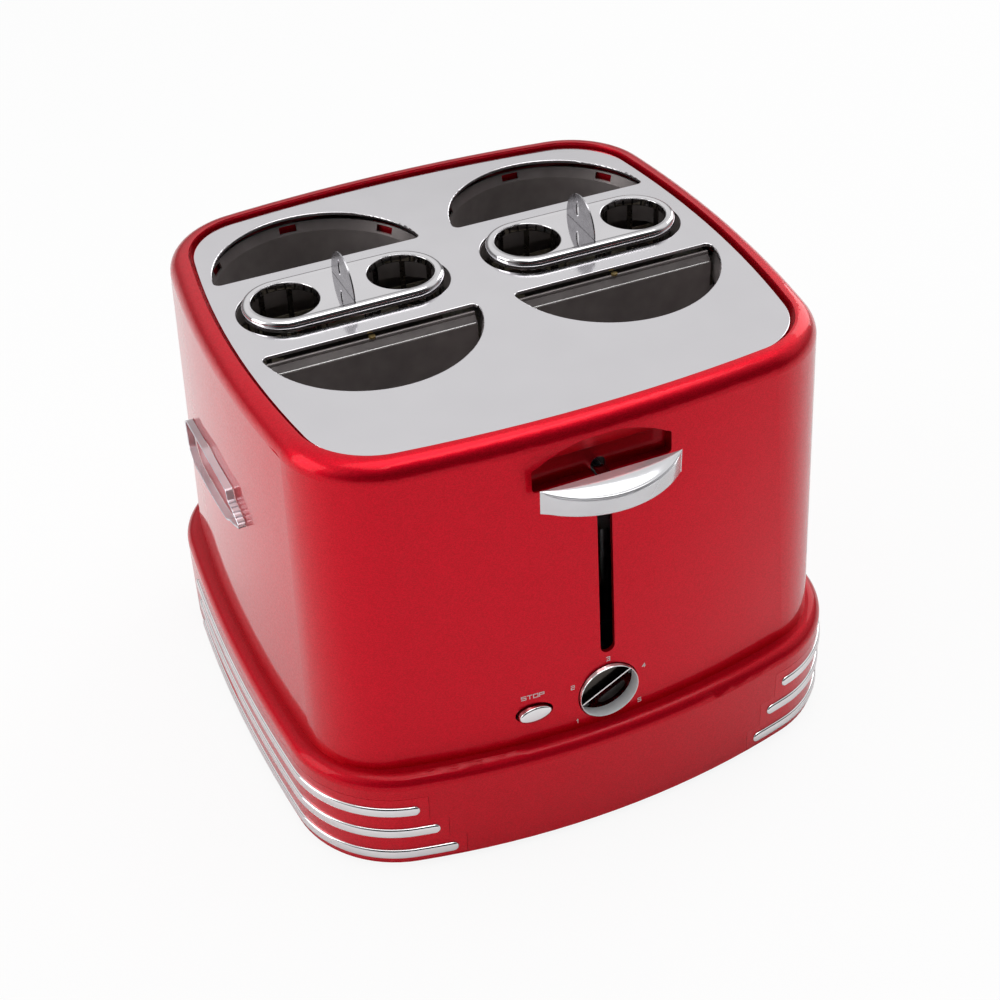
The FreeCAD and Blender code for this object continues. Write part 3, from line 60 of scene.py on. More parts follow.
# Studio: a white room of soft light. The world is light above and greyer near the horizon,
# so that polished metal has something to mirror, with a black flag in front of the toaster, which
# keeps the front dark and clear. The camera itself sees plain white.
FLAG_SIDE = (0.0, -0.94, 0.34)
FLAG_SHADE = (0.30, 0.80, 0.86, 0.05)
SKY = ((0.0, 0.80), (0.48, 0.80), (0.53, 0.16), (0.60, 0.22), (0.74, 0.92), (1.0, 1.0))
LAMPS = (("overhead_box", (0.1, -0.2, 2.0), (0, 0, 0.15), 1.9, 1.3, 13),
         ("left_box", (-1.7, 0.2, 0.8), (0, 0, 0.12), 1.0, 1.4, 10),
         ("rim_box", (0.4, -0.5, 2.3), (0, -0.1, 0.2), 2.2, 0.3, 4),
         ("right_box", (1.6, 0.9, 0.9), (0, 0, 0.12), 0.8, 1.2, 6))
world = bpy.data.worlds.new("studio")
bpy.context.scene.world = world
world.use_nodes = True
tree = world.node_tree
tree.nodes.clear()
out = tree.nodes.new("ShaderNodeOutputWorld")
seen = tree.nodes.new("ShaderNodeBackground")
seen.inputs["Color"].default_value = (1, 1, 1, 1)
lit = tree.nodes.new("ShaderNodeBackground")
coords = tree.nodes.new("ShaderNodeTexCoord")
flag = tree.nodes.new("ShaderNodeVectorMath")
flag.operation = "DOT_PRODUCT"
flag.inputs[1].default_value = FLAG_SIDE
tree.links.new(coords.outputs["Generated"], flag.inputs[0])
shade = tree.nodes.new("ShaderNodeMapRange")
shade.interpolation_type = "SMOOTHSTEP"
for socket, value in zip(("From Min", "From Max", "To Min", "To Max"), FLAG_SHADE):
    shade.inputs[socket].default_value = value
tree.links.new(flag.outputs["Value"], shade.inputs["Value"])
tree.links.new(shade.outputs[0], lit.inputs["Strength"])
split = tree.nodes.new("ShaderNodeSeparateXYZ")
ramp = tree.nodes.new("ShaderNodeValToRGB")
tree.links.new(coords.outputs["Generated"], split.inputs[0])
remap = tree.nodes.new("ShaderNodeMapRange")
remap.inputs["From Min"].default_value = -1.0
tree.links.new(split.outputs["Z"], remap.inputs["Value"])
tree.links.new(remap.outputs[0], ramp.inputs[0])
while len(ramp.color_ramp.elements) < len(SKY):
    ramp.color_ramp.elements.new(0.5)
for element, (place, level) in zip(ramp.color_ramp.elements, SKY):
    element.position = place
    element.color = (level, level, level, 1)
tree.links.new(ramp.outputs[0], lit.inputs["Color"])
paths = tree.nodes.new("ShaderNodeLightPath")
mix = tree.nodes.new("ShaderNodeMixShader")
tree.links.new(paths.outputs["Is Camera Ray"], mix.inputs[0])
tree.links.new(lit.outputs[0], mix.inputs[1])
tree.links.new(seen.outputs[0], mix.inputs[2])
tree.links.new(mix.outputs[0], out.inputs["Surface"])
for name, place, target, width, height, power in LAMPS:
    lamp_data = bpy.data.lights.new(name, "AREA")
    lamp_data.shape = "RECTANGLE"
    lamp_data.size = width
    lamp_data.size_y = height
    lamp_data.energy = power
    lamp = bpy.data.objects.new(name, lamp_data)
    bpy.context.scene.collection.objects.link(lamp)
    aim = Vector(target) - Vector(place)
    lamp.matrix_world = Matrix.Translation(place) @ aim.to_track_quat("-Z", "Y").to_matrix().to_4x4()

# Floor: a wide pale table top, seen as white, which still takes the shadow of the toaster.
FLOOR_HALF = 6.0
FLOOR_SEEN = 0.90
FLOOR_COLOUR = (0.86, 0.86, 0.86, 1)
floor_mesh = bpy.data.meshes.new("floor")
floor_mesh.from_pydata([(-FLOOR_HALF, -FLOOR_HALF, 0), (FLOOR_HALF, -FLOOR_HALF, 0),
                        (FLOOR_HALF, FLOOR_HALF, 0), (-FLOOR_HALF, FLOOR_HALF, 0)], [], [(0, 1, 2, 3)])
floor = bpy.data.objects.new("floor", floor_mesh)
bpy.context.scene.collection.objects.link(floor)
floor_paint = bpy.data.materials.new("floor_white")
floor_paint.use_nodes = True
tree = floor_paint.node_tree
tree.nodes.clear()
out = tree.nodes.new("ShaderNodeOutputMaterial")
matt = tree.nodes.new("ShaderNodeBsdfDiffuse")
matt.inputs["Color"].default_value = FLOOR_COLOUR
glow = tree.nodes.new("ShaderNodeEmission")
mix = tree.nodes.new("ShaderNodeMixShader")
paths = tree.nodes.new("ShaderNodeLightPath")
share = tree.nodes.new("ShaderNodeMath")
share.operation = "MULTIPLY"
share.inputs[1].default_value = FLOOR_SEEN
tree.links.new(paths.outputs["Is Camera Ray"], share.inputs[0])
tree.links.new(share.outputs[0], mix.inputs[0])
tree.links.new(matt.outputs[0], mix.inputs[1])
tree.links.new(glow.outputs[0], mix.inputs[2])
tree.links.new(mix.outputs[0], out.inputs["Surface"])
floor_mesh.materials.append(floor_paint)


# Base: the wider foot of the toaster, pressed from steel with a flat ledge round the shell, and sprayed
# in a deep red metallic enamel under clear lacquer. Stepped side panels are let into its walls, and the
# front of the crumb tray closes its back.
class Finish:
    """A shader made of nodes: colour, roughness and a fine bump, all from noise in the piece's own space."""

    def __init__(self, name):
        self.material = bpy.data.materials.new(name)
        self.material.use_nodes = True
        self.tree = self.material.node_tree
        self.shader = self.tree.nodes["Principled BSDF"]
        self.place = self.tree.nodes.new("ShaderNodeTexCoord").outputs["Object"]

    def put(self, **values):
        for key, value in values.items():
            self.shader.inputs[key.replace("_", " ")].default_value = value
        return self

    def stretch(self, scale):
        mapping = self.tree.nodes.new("ShaderNodeMapping")
        mapping.inputs["Scale"].default_value = scale
        self.tree.links.new(self.place, mapping.inputs["Vector"])
        return mapping.outputs["Vector"]

    def grain(self, scale, detail=2.0, stretched=None):
        noise = self.tree.nodes.new("ShaderNodeTexNoise")
        noise.inputs["Scale"].default_value = scale
        noise.inputs["Detail"].default_value = detail
        self.tree.links.new(self.stretch(stretched) if stretched else self.place, noise.inputs["Vector"])
        return noise.outputs["Fac"]

    def flakes(self, scale):
        cells = self.tree.nodes.new("ShaderNodeTexVoronoi")
        cells.inputs["Scale"].default_value = scale
        self.tree.links.new(self.place, cells.inputs["Vector"])
        parts = self.tree.nodes.new("ShaderNodeSeparateColor")
        self.tree.links.new(cells.outputs["Color"], parts.inputs[0])
        return parts.outputs[0]

    def colour(self, source, low, high, start=0.3, end=0.7):
        ramp = self.tree.nodes.new("ShaderNodeValToRGB")
        ramp.color_ramp.elements[0].position = start
        ramp.color_ramp.elements[0].color = (*low, 1)
        ramp.color_ramp.elements[1].position = end
        ramp.color_ramp.elements[1].color = (*high, 1)
        self.tree.links.new(source, ramp.inputs[0])
        self.tree.links.new(ramp.outputs[0], self.shader.inputs["Base Color"])
        return self

    def spread(self, source, start, end, low, high):
        remap = self.tree.nodes.new("ShaderNodeMapRange")
        for socket, value in zip(("From Min", "From Max", "To Min", "To Max"), (start, end, low, high)):
            remap.inputs[socket].default_value = value
        self.tree.links.new(source, remap.inputs["Value"])
        return remap.outputs[0]

    def scale_colour(self, level):
        before = self.shader.inputs["Base Color"].links[0].from_socket
        scaled = self.tree.nodes.new("ShaderNodeVectorMath")
        scaled.operation = "SCALE"
        self.tree.links.new(before, scaled.inputs[0])
        self.tree.links.new(level, scaled.inputs["Scale"])
        self.tree.links.new(scaled.outputs[0], self.shader.inputs["Base Color"])

    def roughness(self, source, low, high):
        level = self.spread(source, 0.3, 0.7, low, high)
        self.tree.links.new(level, self.shader.inputs["Roughness"])
        return self

    def lacquer(self, start, end, low, high):
        # Clear coat that shows more towards the edge of a curved wall than face on
        facing = self.tree.nodes.new("ShaderNodeLayerWeight")
        facing.inputs["Blend"].default_value = 0.5
        level = self.spread(facing.outputs["Facing"], start, end, low, high)
        self.tree.links.new(level, self.shader.inputs["Coat Weight"])
        return self

    def darken(self, centre, half, share):
        # Deeper colour inside one box of the piece's own space, where paint lies in shade
        place = self.place
        for operation, value in (("SUBTRACT", centre), ("ABSOLUTE", None), ("DIVIDE", half)):
            step = self.tree.nodes.new("ShaderNodeVectorMath")
            step.operation = operation
            self.tree.links.new(place, step.inputs[0])
            if value:
                step.inputs[1].default_value = value
            place = step.outputs[0]
        split = self.tree.nodes.new("ShaderNodeSeparateXYZ")
        self.tree.links.new(place, split.inputs[0])
        most = split.outputs[0]
        for axis in (1, 2):
            step = self.tree.nodes.new("ShaderNodeMath")
            step.operation = "MAXIMUM"
            self.tree.links.new(most, step.inputs[0])
            self.tree.links.new(split.outputs[axis], step.inputs[1])
            most = step.outputs[0]
        level = self.spread(most, 0.97, 1.0, share, 1.0)
        self.scale_colour(level)
        coat = self.tree.nodes.new("ShaderNodeMath")
        coat.operation = "MULTIPLY"
        self.tree.links.new(self.shader.inputs["Coat Weight"].links[0].from_socket, coat.inputs[0])
        self.tree.links.new(level, coat.inputs[1])
        self.tree.links.new(coat.outputs[0], self.shader.inputs["Coat Weight"])
        return self

    def shade_by_slope(self, start, end, low, high):
        # Painted shade: colour scaled by how far the surface faces up, so faces that look up come out darker than
        # walls
        normal = self.tree.nodes.new("ShaderNodeSeparateXYZ")
        self.tree.links.new(self.tree.nodes.new("ShaderNodeTexCoord").outputs["Normal"], normal.inputs[0])
        self.scale_colour(self.spread(normal.outputs[2], start, end, low, high))
        return self

    def bump(self, source, height, strength=1.0):
        bump = self.tree.nodes.new("ShaderNodeBump")
        bump.inputs["Distance"].default_value = height
        bump.inputs["Strength"].default_value = strength
        self.tree.links.new(source, bump.inputs["Height"])
        self.tree.links.new(bump.outputs["Normal"], self.shader.inputs["Normal"])
        return self


def dress(finish, *names):
    for name in names:
        mesh = nodes[name].data
        mesh.materials.clear()
        mesh.materials.append(finish.material)


def sprayed_enamel(name, low, high):
    finish = Finish(name)
    finish.put(Metallic=0.78, Specular_IOR_Level=0.08, Coat_Roughness=0.03, Coat_IOR=1.36)
    finish.colour(finish.flakes(2600), (0.57, 0.001, 0.012), (0.73, 0.003, 0.020), 0.1, 0.9)
    finish.lacquer(0.30, 0.66, 0.42, 1.0)
    finish.roughness(finish.grain(900), low, high)
    finish.bump(finish.grain(160), 0.00002, 0.2)
    return finish


enamel = sprayed_enamel("red_enamel", 0.34, 0.42)
# Painted shade: the enamel is darker, with less clear coat, in the finger recess above the lever
enamel.darken((0.0, -0.1222, 0.2003), (0.0336, 0.0030, 0.0060), 0.45)
# The ledge has a rougher enamel, and painted shade: its colour is darker where it faces up
ledge_enamel = sprayed_enamel("ledge_enamel", 0.50, 0.58)
ledge_enamel.shade_by_slope(0.3, 0.9, 1.0, 0.72)
dress(ledge_enamel, "base_skirt")
dress(enamel, "side_trim_left", "side_trim_right", "crumb_tray")

# Chrome strips: three rounded bright bands along each side of the base, one above the other. Each is a
# die-cast moulding with a half-round face and rounded ends, clipped into a groove of the side panel.
MM = 0.001
BASE_PLAN = (288.4, 288.0, 26.0, 12.0, 55.0)
STRIP_LEVELS = (("upper", 38.2, 95.8), ("middle", 24.2, 87.2), ("lower", 10.0, 79.4))
STRIP_HALF_H = 2.8
STRIP_PROUD = 1.3
STRIP_SUNK = 0.9
STRIP_REAR_Y = 70.0


def outline_arcs(plan):
    width, depth, bulge_y, bulge_x, corner = plan
    half_w, half_d = width / 2, depth / 2
    rad_y = (half_w ** 2 + bulge_y ** 2) / (2 * bulge_y)
    rad_x = (half_d ** 2 + bulge_x ** 2) / (2 * bulge_x)
    cy, cx = half_d - rad_y, half_w - rad_x
    reach_y, reach_x, gap = rad_y - corner, rad_x - corner, math.hypot(cx, cy)
    along = (reach_y ** 2 - reach_x ** 2 + gap ** 2) / (2 * gap)
    across = math.sqrt(reach_y ** 2 - along ** 2)
    ux, uy = cx / gap, -cy / gap
    ends = [(along * ux - way * across * uy, cy + along * uy + way * across * ux) for way in (-1, 1)]
    kx, ky = max(ends, key=sum)
    return cx, cy, rad_x, rad_y, kx, ky, corner


def side_run(plan, x_from, y_to, step):
    # Points and outward directions along the right front quarter of an outline, evenly spaced
    cx, cy, rad_x, rad_y, kx, ky, corner = outline_arcs(plan)
    tilt_a, tilt_b = math.atan2(ky - cy, kx), math.atan2(ky, kx - cx)
    arcs = [(0, -cy, rad_y, -math.acos(x_from / rad_y), -tilt_a), (kx, -ky, corner, -tilt_a, -tilt_b),
            (cx, 0, rad_x, -tilt_b, math.asin(y_to / rad_x))]
    dense = []
    for ox, oy, radius, a0, a1 in arcs:
        for k in range(101):
            a = a0 + (a1 - a0) * k / 100
            dense.append((ox + radius * math.cos(a), oy + radius * math.sin(a), math.cos(a), math.sin(a)))
    lengths = [0.0]
    for p, q in zip(dense[:-1], dense[1:]):
        lengths.append(lengths[-1] + math.hypot(q[0] - p[0], q[1] - p[1]))
    total = lengths[-1]
    ends = [STRIP_HALF_H * (1 - math.cos(math.radians(a))) for a in (4, 18, 34, 52, 70, 90)]
    middle = int((total - 2 * STRIP_HALF_H) / step)
    stops = ends + [STRIP_HALF_H + (total - 2 * STRIP_HALF_H) * k / middle for k in range(1, middle)]
    stops += [total - s for s in reversed(ends)]
    run, index = [], 0
    for stop in stops:
        while index < len(lengths) - 2 and lengths[index + 1] < stop:
            index += 1
        span = lengths[index + 1] - lengths[index]
        t = (stop - lengths[index]) / span if span else 0
        p, q = dense[index], dense[index + 1]
        run.append((tuple(p[i] + (q[i] - p[i]) * t for i in range(4)), min(stop, total - stop)))
    return run


def skin(rings):
    count = len(rings[0])
    points = [point for ring in rings for point in ring]
    faces = [(r * count + k, r * count + (k + 1) % count, (r + 1) * count + (k + 1) % count, (r + 1) * count + k)
             for r in range(len(rings) - 1) for k in range(count)]
    last = (len(rings) - 1) * count
    faces.append(tuple(reversed(range(count))))
    faces.append(tuple(last + k for k in range(count)))
    return points, faces


def make_piece(name, points, faces, finish, body, stands_for=(), sharp=38):
    mesh = bpy.data.meshes.new(name)
    mesh.from_pydata([(x * MM, y * MM, z * MM) for x, y, z in points], [], faces)
    shape = bmesh.new()
    shape.from_mesh(mesh)
    bmesh.ops.remove_doubles(shape, verts=shape.verts, dist=0.000002)
    bmesh.ops.recalc_face_normals(shape, faces=shape.faces)
    shape.to_mesh(mesh)
    shape.free()
    mesh.shade_smooth()
    mesh.set_sharp_from_angle(angle=math.radians(sharp))
    mesh.materials.append(finish.material)
    piece = bpy.data.objects.new(name, mesh)
    bpy.context.scene.collection.objects.link(piece)
    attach(piece, body)
    if stands_for:
        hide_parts(*stands_for)
    return piece


chrome = Finish("chrome_plating")
chrome.put(Metallic=1.0)
chrome.colour(chrome.grain(60), (0.82, 0.82, 0.83), (0.88, 0.88, 0.89))
chrome.roughness(chrome.grain(220, 3.0), 0.03, 0.07)
for side_name, side in (("left", -1), ("right", 1)):
    for level, z, x_from in STRIP_LEVELS:
        rings = []
        for (px, py, nx, ny), from_end in side_run(BASE_PLAN, x_from, STRIP_REAR_Y, 2.5):
            lean = min(from_end / STRIP_HALF_H, 1.0)
            full = math.sqrt(max(1 - (1 - lean) ** 2, 0.0))
            ring = []
            for k in range(13):
                a = math.radians(-90 + 15 * k)
                out_by = STRIP_PROUD * math.cos(a) ** 0.7 * full ** 0.6 if abs(k - 6) < 6 else 0.0
                ring.append((side * (px + nx * out_by), py + ny * out_by, z + STRIP_HALF_H * full * math.sin(a)))
            for up in (0.92, -0.92):
                ring.append((side * (px - nx * STRIP_SUNK), py - ny * STRIP_SUNK, z + STRIP_HALF_H * full * up))
            rings.append(ring)
        points, faces = skin(rings)
        make_piece(f"rounded_strip_{side_name}_{level}", points, faces, chrome, "housing",
                   (f"chrome_strip_{side_name}_{level}",))

# Shell: drafted and domed walls of pressed steel with a rolled rim, sprayed like the base. The lever slot,
# the finger recess above it and the holes of the knob and the stop button are cut in its front.
dress(enamel, "housing_shell")

# Lettering: plain figures round the knob and the word STOP over the button, screen-printed in pale ink
# on the front wall of the shell.
SHELL_TOP_PLAN = (264.5, 250.5, 11.9, 13.3, 44.9)
SHELL_FOOT_PLAN = (273.0, 269.4, 24.0, 12.2, 41.0)
SHELL_Z = (57.5, 223.0)
INK_THICKNESS = 0.06
STROKES = {
    "1": [[(0.22, 0.76), (0.46, 1.0), (0.46, 0.0)]],
    "2": [[(0.0, 1.0), (0.78, 1.0), (0.78, 0.52), (0.0, 0.52), (0.0, 0.0), (0.78, 0.0)]],
    "3": [[(0.0, 1.0), (0.78, 1.0), (0.78, 0.0), (0.0, 0.0)], [(0.14, 0.5), (0.78, 0.5)]],
    "4": [[(0.58, 0.0), (0.58, 1.0), (0.0, 0.34), (0.84, 0.34)]],
    "5": [[(0.78, 1.0), (0.0, 1.0), (0.0, 0.52), (0.78, 0.52), (0.78, 0.0), (0.0, 0.0)]],
    "S": [[(1.0, 1.0), (0.0, 1.0), (0.0, 0.52), (1.0, 0.52), (1.0, 0.0), (0.0, 0.0)]],
    "T": [[(0.0, 1.0), (1.0, 1.0)], [(0.5, 1.0), (0.5, 0.0)]],
    "O": [[(0.0, 0.0), (0.0, 1.0), (1.0, 1.0), (1.0, 0.0), (0.0, 0.0)]],
    "P": [[(0.0, 0.0), (0.0, 1.0), (1.0, 1.0), (1.0, 0.46), (0.0, 0.46)]],
}


def front_wall(x, z):
    t = (z - SHELL_Z[0]) / (SHELL_Z[1] - SHELL_Z[0])
    reach = []
    for plan in (SHELL_FOOT_PLAN, SHELL_TOP_PLAN):
        cx, cy, rad_x, rad_y, kx, ky, corner = outline_arcs(plan)
        reach.append(cy + math.sqrt(rad_y ** 2 - x ** 2))
    return -(reach[0] * (1 - t) + reach[1] * t)


def side_wall(y, z):
    t = (z - SHELL_Z[0]) / (SHELL_Z[1] - SHELL_Z[0])
    reach = []
    for plan in (SHELL_FOOT_PLAN, SHELL_TOP_PLAN):
        cx, cy, rad_x, rad_y, kx, ky, corner = outline_arcs(plan)
        reach.append(cx + math.sqrt(rad_x ** 2 - y ** 2))
    return reach[0] * (1 - t) + reach[1] * t


def print_strokes(text, x_centre, z_foot, height, width, spacing, stroke):
    points, faces = [], []
    x0 = x_centre - (len(text) * width + (len(text) - 1) * spacing) / 2
    for letter in text:
        for line in STROKES[letter]:
            for (ax, az), (bx, bz) in zip(line[:-1], line[1:]):
                a = Vector((x0 + ax * width, z_foot + az * height))
                b = Vector((x0 + bx * width, z_foot + bz * height))
                run = (b - a).normalized() * stroke / 2
                across = Vector((-run.y, run.x))
                corners = [a - run + across, a - run - across, b + run - across, b + run + across]
                start = len(points)
                for depth in (INK_THICKNESS, -0.02):
                    points += [(c.x, front_wall(c.x, c.y) - depth, c.y) for c in corners]
                faces += [(start, start + 1, start + 2, start + 3), (start + 7, start + 6, start + 5, start + 4)]
                faces += [(start + k, start + (k + 1) % 4, start + 4 + (k + 1) % 4, start + 4 + k)
                          for k in range(4)]
        x0 += width + spacing
    return points, faces


ink = Finish("pale_ink")
ink.colour(ink.grain(1500), (0.74, 0.72, 0.72), (0.84, 0.82, 0.82))
ink.roughness(ink.grain(2600), 0.45, 0.6)
FIGURES = (("1", -16.0, 61.8), ("2", -17.8, 82.7), ("3", 0.3, 93.1), ("4", 18.7, 81.8), ("5", 16.2, 62.0))
for figure, x, z in FIGURES:
    points, faces = print_strokes(figure, x, z - 1.05, 2.1, 2.0, 0.8, 0.38)
    make_piece(f"figure_{figure}", points, faces, ink, "housing")
points, faces = print_strokes("STOP", -37.5, 83.3, 2.0, 2.15, 0.75, 0.40)
make_piece("stop_word", points, faces, ink, "housing")

# Top plate: bright rolled steel, polished until it mirrors the baskets, pressed with its slots and wells.
polished = Finish("polished_steel")
polished.put(Metallic=1.0)
polished.colour(polished.grain(25), (0.735, 0.72, 0.745), (0.765, 0.75, 0.775))
polished.roughness(polished.grain(60, 3.0), 0.10, 0.15)
polished.bump(polished.grain(400, 3.0, (1, 9, 1)), 0.000002, 0.3)
dress(polished, "top_plate")

# Wells: curved steel liners and flat guides with a dark heat-resistant coating, brass studs in the
# guides, and the red inner flange of the shell, which shows through the windows of each liner.
coating = Finish("dark_coating")
coating.put(Metallic=0.55)
coating.colour(coating.grain(90, 4.0), (0.30, 0.265, 0.262), (0.38, 0.34, 0.335))
coating.roughness(coating.grain(500, 3.0, (1, 1, 0.2)), 0.30, 0.42)
coating.bump(coating.grain(2200), 0.00001, 0.3)
# Painted shade: the coating's colour is darker on faces that look up than on the walls
coating.shade_by_slope(0.15, 0.45, 1.0, 0.52)
dress(coating, *[name for name in nodes if name.startswith("bun_") and "lifter" not in name])
brass = Finish("brass_studs")
brass.put(Metallic=1.0)
brass.colour(brass.grain(900), (0.50, 0.36, 0.14), (0.66, 0.50, 0.24))
brass.roughness(brass.grain(1200), 0.3, 0.45)
dress(brass, "guide_rivets")
FLANGE_R = (55.5, 56.3)
FLANGE_Z = (208.0, 215.9)
WINDOW_PLACES = (("a", -54.0), ("b", 0.0), ("c", 54.0))
UNIT_X, UNIT_Y = 61.0, 18.6
for unit_name, unit in (("left", -1), ("right", 1)):
    for row_name, row in (("front", -1), ("back", 1)):
        centre_y = UNIT_Y + row * 30.1
        for window, middle in WINDOW_PLACES:
            rings = []
            for k in range(9):
                a = math.radians(row * 90 + middle - 8 + 2 * k)
                rings.append([(unit * UNIT_X + r * math.cos(a), centre_y + r * math.sin(a), z)
                              for r, z in ((FLANGE_R[0], FLANGE_Z[0]), (FLANGE_R[1], FLANGE_Z[0]),
                                           (FLANGE_R[1], FLANGE_Z[1]), (FLANGE_R[0], FLANGE_Z[1]))])
            points, faces = skin(rings)
            make_piece(f"inner_flange_{unit_name}_{row_name}_{window}", points, faces, enamel, "housing")

# Slot trim: the plate is turned down round each basket well as a short dark sleeve, and the guide of each bun slot
# has a rolled line along its bend, coloured pale as a painted highlight.
SLEEVE_HALF_L, SLEEVE_R = 51.3, 22.9
SLEEVE_T = 0.5
SLEEVE_Z = (209.5, 219.6)
SLEEVE_POINTS = 96
BEND_OFF, BEND_Z, BEND_R, BEND_HALF_L = 38.6, 213.1, 0.55, 49.6
# The rolled line on each guide bend is coloured pale as a painted highlight of that bend
bend_highlight_paint = Finish("bend_painted_highlight")
bend_highlight_paint.put(Metallic=0.5)
bend_highlight_paint.colour(bend_highlight_paint.grain(300), (0.78, 0.77, 0.76), (0.86, 0.85, 0.84))
bend_highlight_paint.roughness(bend_highlight_paint.grain(500), 0.22, 0.34)


def oblong(centre_x, run, radius, z, count):
    # A ring of evenly shared points round a straight-sided oblong with half-round ends
    ring = []
    for k in range(count):
        a = 2 * math.pi * (k + 0.5) / count
        shift = run if math.cos(a) > 0 else -run
        ring.append((centre_x + shift + radius * math.cos(a), UNIT_Y + radius * math.sin(a), z))
    return ring


for unit_name, unit in (("left", -1), ("right", 1)):
    section = ((0.0, SLEEVE_Z[0]), (0.0, SLEEVE_Z[1]), (SLEEVE_T, SLEEVE_Z[1]), (SLEEVE_T, SLEEVE_Z[0]))
    walls = [oblong(unit * UNIT_X, SLEEVE_HALF_L - SLEEVE_R, SLEEVE_R + thick, z, SLEEVE_POINTS)
             for thick, z in section]
    points = [point for ring in walls for point in ring]
    faces = []
    for r in range(len(walls)):
        here, there = SLEEVE_POINTS * r, SLEEVE_POINTS * ((r + 1) % len(walls))
        for k in range(SLEEVE_POINTS):
            ahead = (k + 1) % SLEEVE_POINTS
            faces.append((here + k, here + ahead, there + ahead, there + k))
    make_piece(f"well_sleeve_{unit_name}", points, faces, coating, "housing")
    for row_name, row in (("front", -1), ("back", 1)):
        rings = [[(unit * UNIT_X + x, UNIT_Y + row * (BEND_OFF + r * math.cos(2 * math.pi * k / 16)),
                   BEND_Z + r * math.sin(2 * math.pi * k / 16)) for k in range(16)]
                 for x, r in ((-BEND_HALF_L, BEND_R * 0.5), (0.3 - BEND_HALF_L, BEND_R), (0.0, BEND_R),
                              (BEND_HALF_L - 0.3, BEND_R), (BEND_HALF_L, BEND_R * 0.5))]
        points, faces = skin(rings)
        make_piece(f"guide_bend_{unit_name}_{row_name}", points, faces, bend_highlight_paint, "housing")

# Inner steelwork: zinc-coated sheet, rods, springs and screws, with the mica heater boards between.
zinc = Finish("zinc_steel")
zinc.put(Metallic=1.0)
zinc.colour(zinc.flakes(220), (0.50, 0.51, 0.52), (0.66, 0.67, 0.68), 0.0, 1.0)
zinc.roughness(zinc.grain(260, 3.0), 0.32, 0.5)
dress(zinc, "base_plate", "chassis_front", "chassis_rear", "heat_shield_left", "heat_shield_right",
      "centre_channel", "carriage_bracket", "carriage_beam", "latch_plate", "bun_lifter_front",
      "bun_lifter_back", "basket_cradle", "guide_rods_front", "guide_rod_rear",
      "return_springs", "foot_screws", "heater_winding_front", "heater_winding_back", "latch_magnet",
      "tongs_magnets")
mica = Finish("mica_sheet")
mica.colour(mica.grain(180, 5.0), (0.40, 0.34, 0.26), (0.62, 0.56, 0.45))
mica.roughness(mica.grain(500), 0.45, 0.7)
dress(mica, "heater_board_front", "heater_board_back")

# Feet, gland and switch parts: black rubber and moulded plastic, and the green board behind the knob.
rubber = Finish("black_rubber")
rubber.colour(rubber.grain(300), (0.018, 0.018, 0.018), (0.035, 0.035, 0.035))
rubber.roughness(rubber.grain(1500), 0.7, 0.85)
rubber.bump(rubber.grain(3000), 0.00002, 0.5)
dress(rubber, "rubber_feet")
plastic = Finish("black_plastic")
plastic.colour(plastic.grain(300), (0.022, 0.022, 0.023), (0.034, 0.034, 0.035))
plastic.roughness(plastic.grain(2500), 0.38, 0.5)
plastic.bump(plastic.grain(4000), 0.00001, 0.4)
dress(plastic, "cord_gland", "rotary_switch", "knob_shaft", "terminal_block")
board = Finish("circuit_board")
board.colour(board.grain(400), (0.006, 0.022, 0.012), (0.012, 0.040, 0.020))
board.roughness(board.grain(900), 0.35, 0.5)
dress(board, "control_board")

# Lever: a bright round rod that comes out through the slot, and a chrome grip pushed on its end. The grip
# is a die-cast crescent with a straight back, a bowed front, blunt tips and a top that slopes to a front rim.
GRIP_HALF_L = 33.3
GRIP_BACK_Y = -134.2
GRIP_FRONT_Y = -148.0
GRIP_Z = (189.6, 201.3)
GRIP_DISH = 2.3
GRIP_TOP = ((0.0, 0.0), (0.12, 0.0), (0.24, 0.005), (0.36, 0.03), (0.46, 0.09), (0.56, 0.20), (0.66, 0.36),
            (0.76, 0.56), (0.85, 0.75), (0.92, 0.90), (0.96, 0.97), (1.0, 1.0))
GRIP_GROOVE = 0.55
ARM_CENTRE_Z = 194.5
ARM_R = 2.35
ARM_Y = (-143.0, -97.0)
rings = []
for y, r in ((ARM_Y[0], 1.9), (ARM_Y[0] + 0.5, ARM_R), (-133.0, ARM_R), (-131.0, ARM_R), (-126.0, ARM_R),
             (-112.0, ARM_R), (ARM_Y[1], ARM_R)):
    rings.append([(r * math.cos(2 * math.pi * k / 40), y, ARM_CENTRE_Z + r * math.sin(2 * math.pi * k / 40))
                  for k in range(40)])
points, faces = skin(rings)
make_piece("lever_rod", points, faces, chrome, "carriage", ("lever_arm",))
bow = GRIP_BACK_Y - GRIP_FRONT_Y
grip_r = (GRIP_HALF_L ** 2 + bow ** 2) / (2 * bow)
rings = []
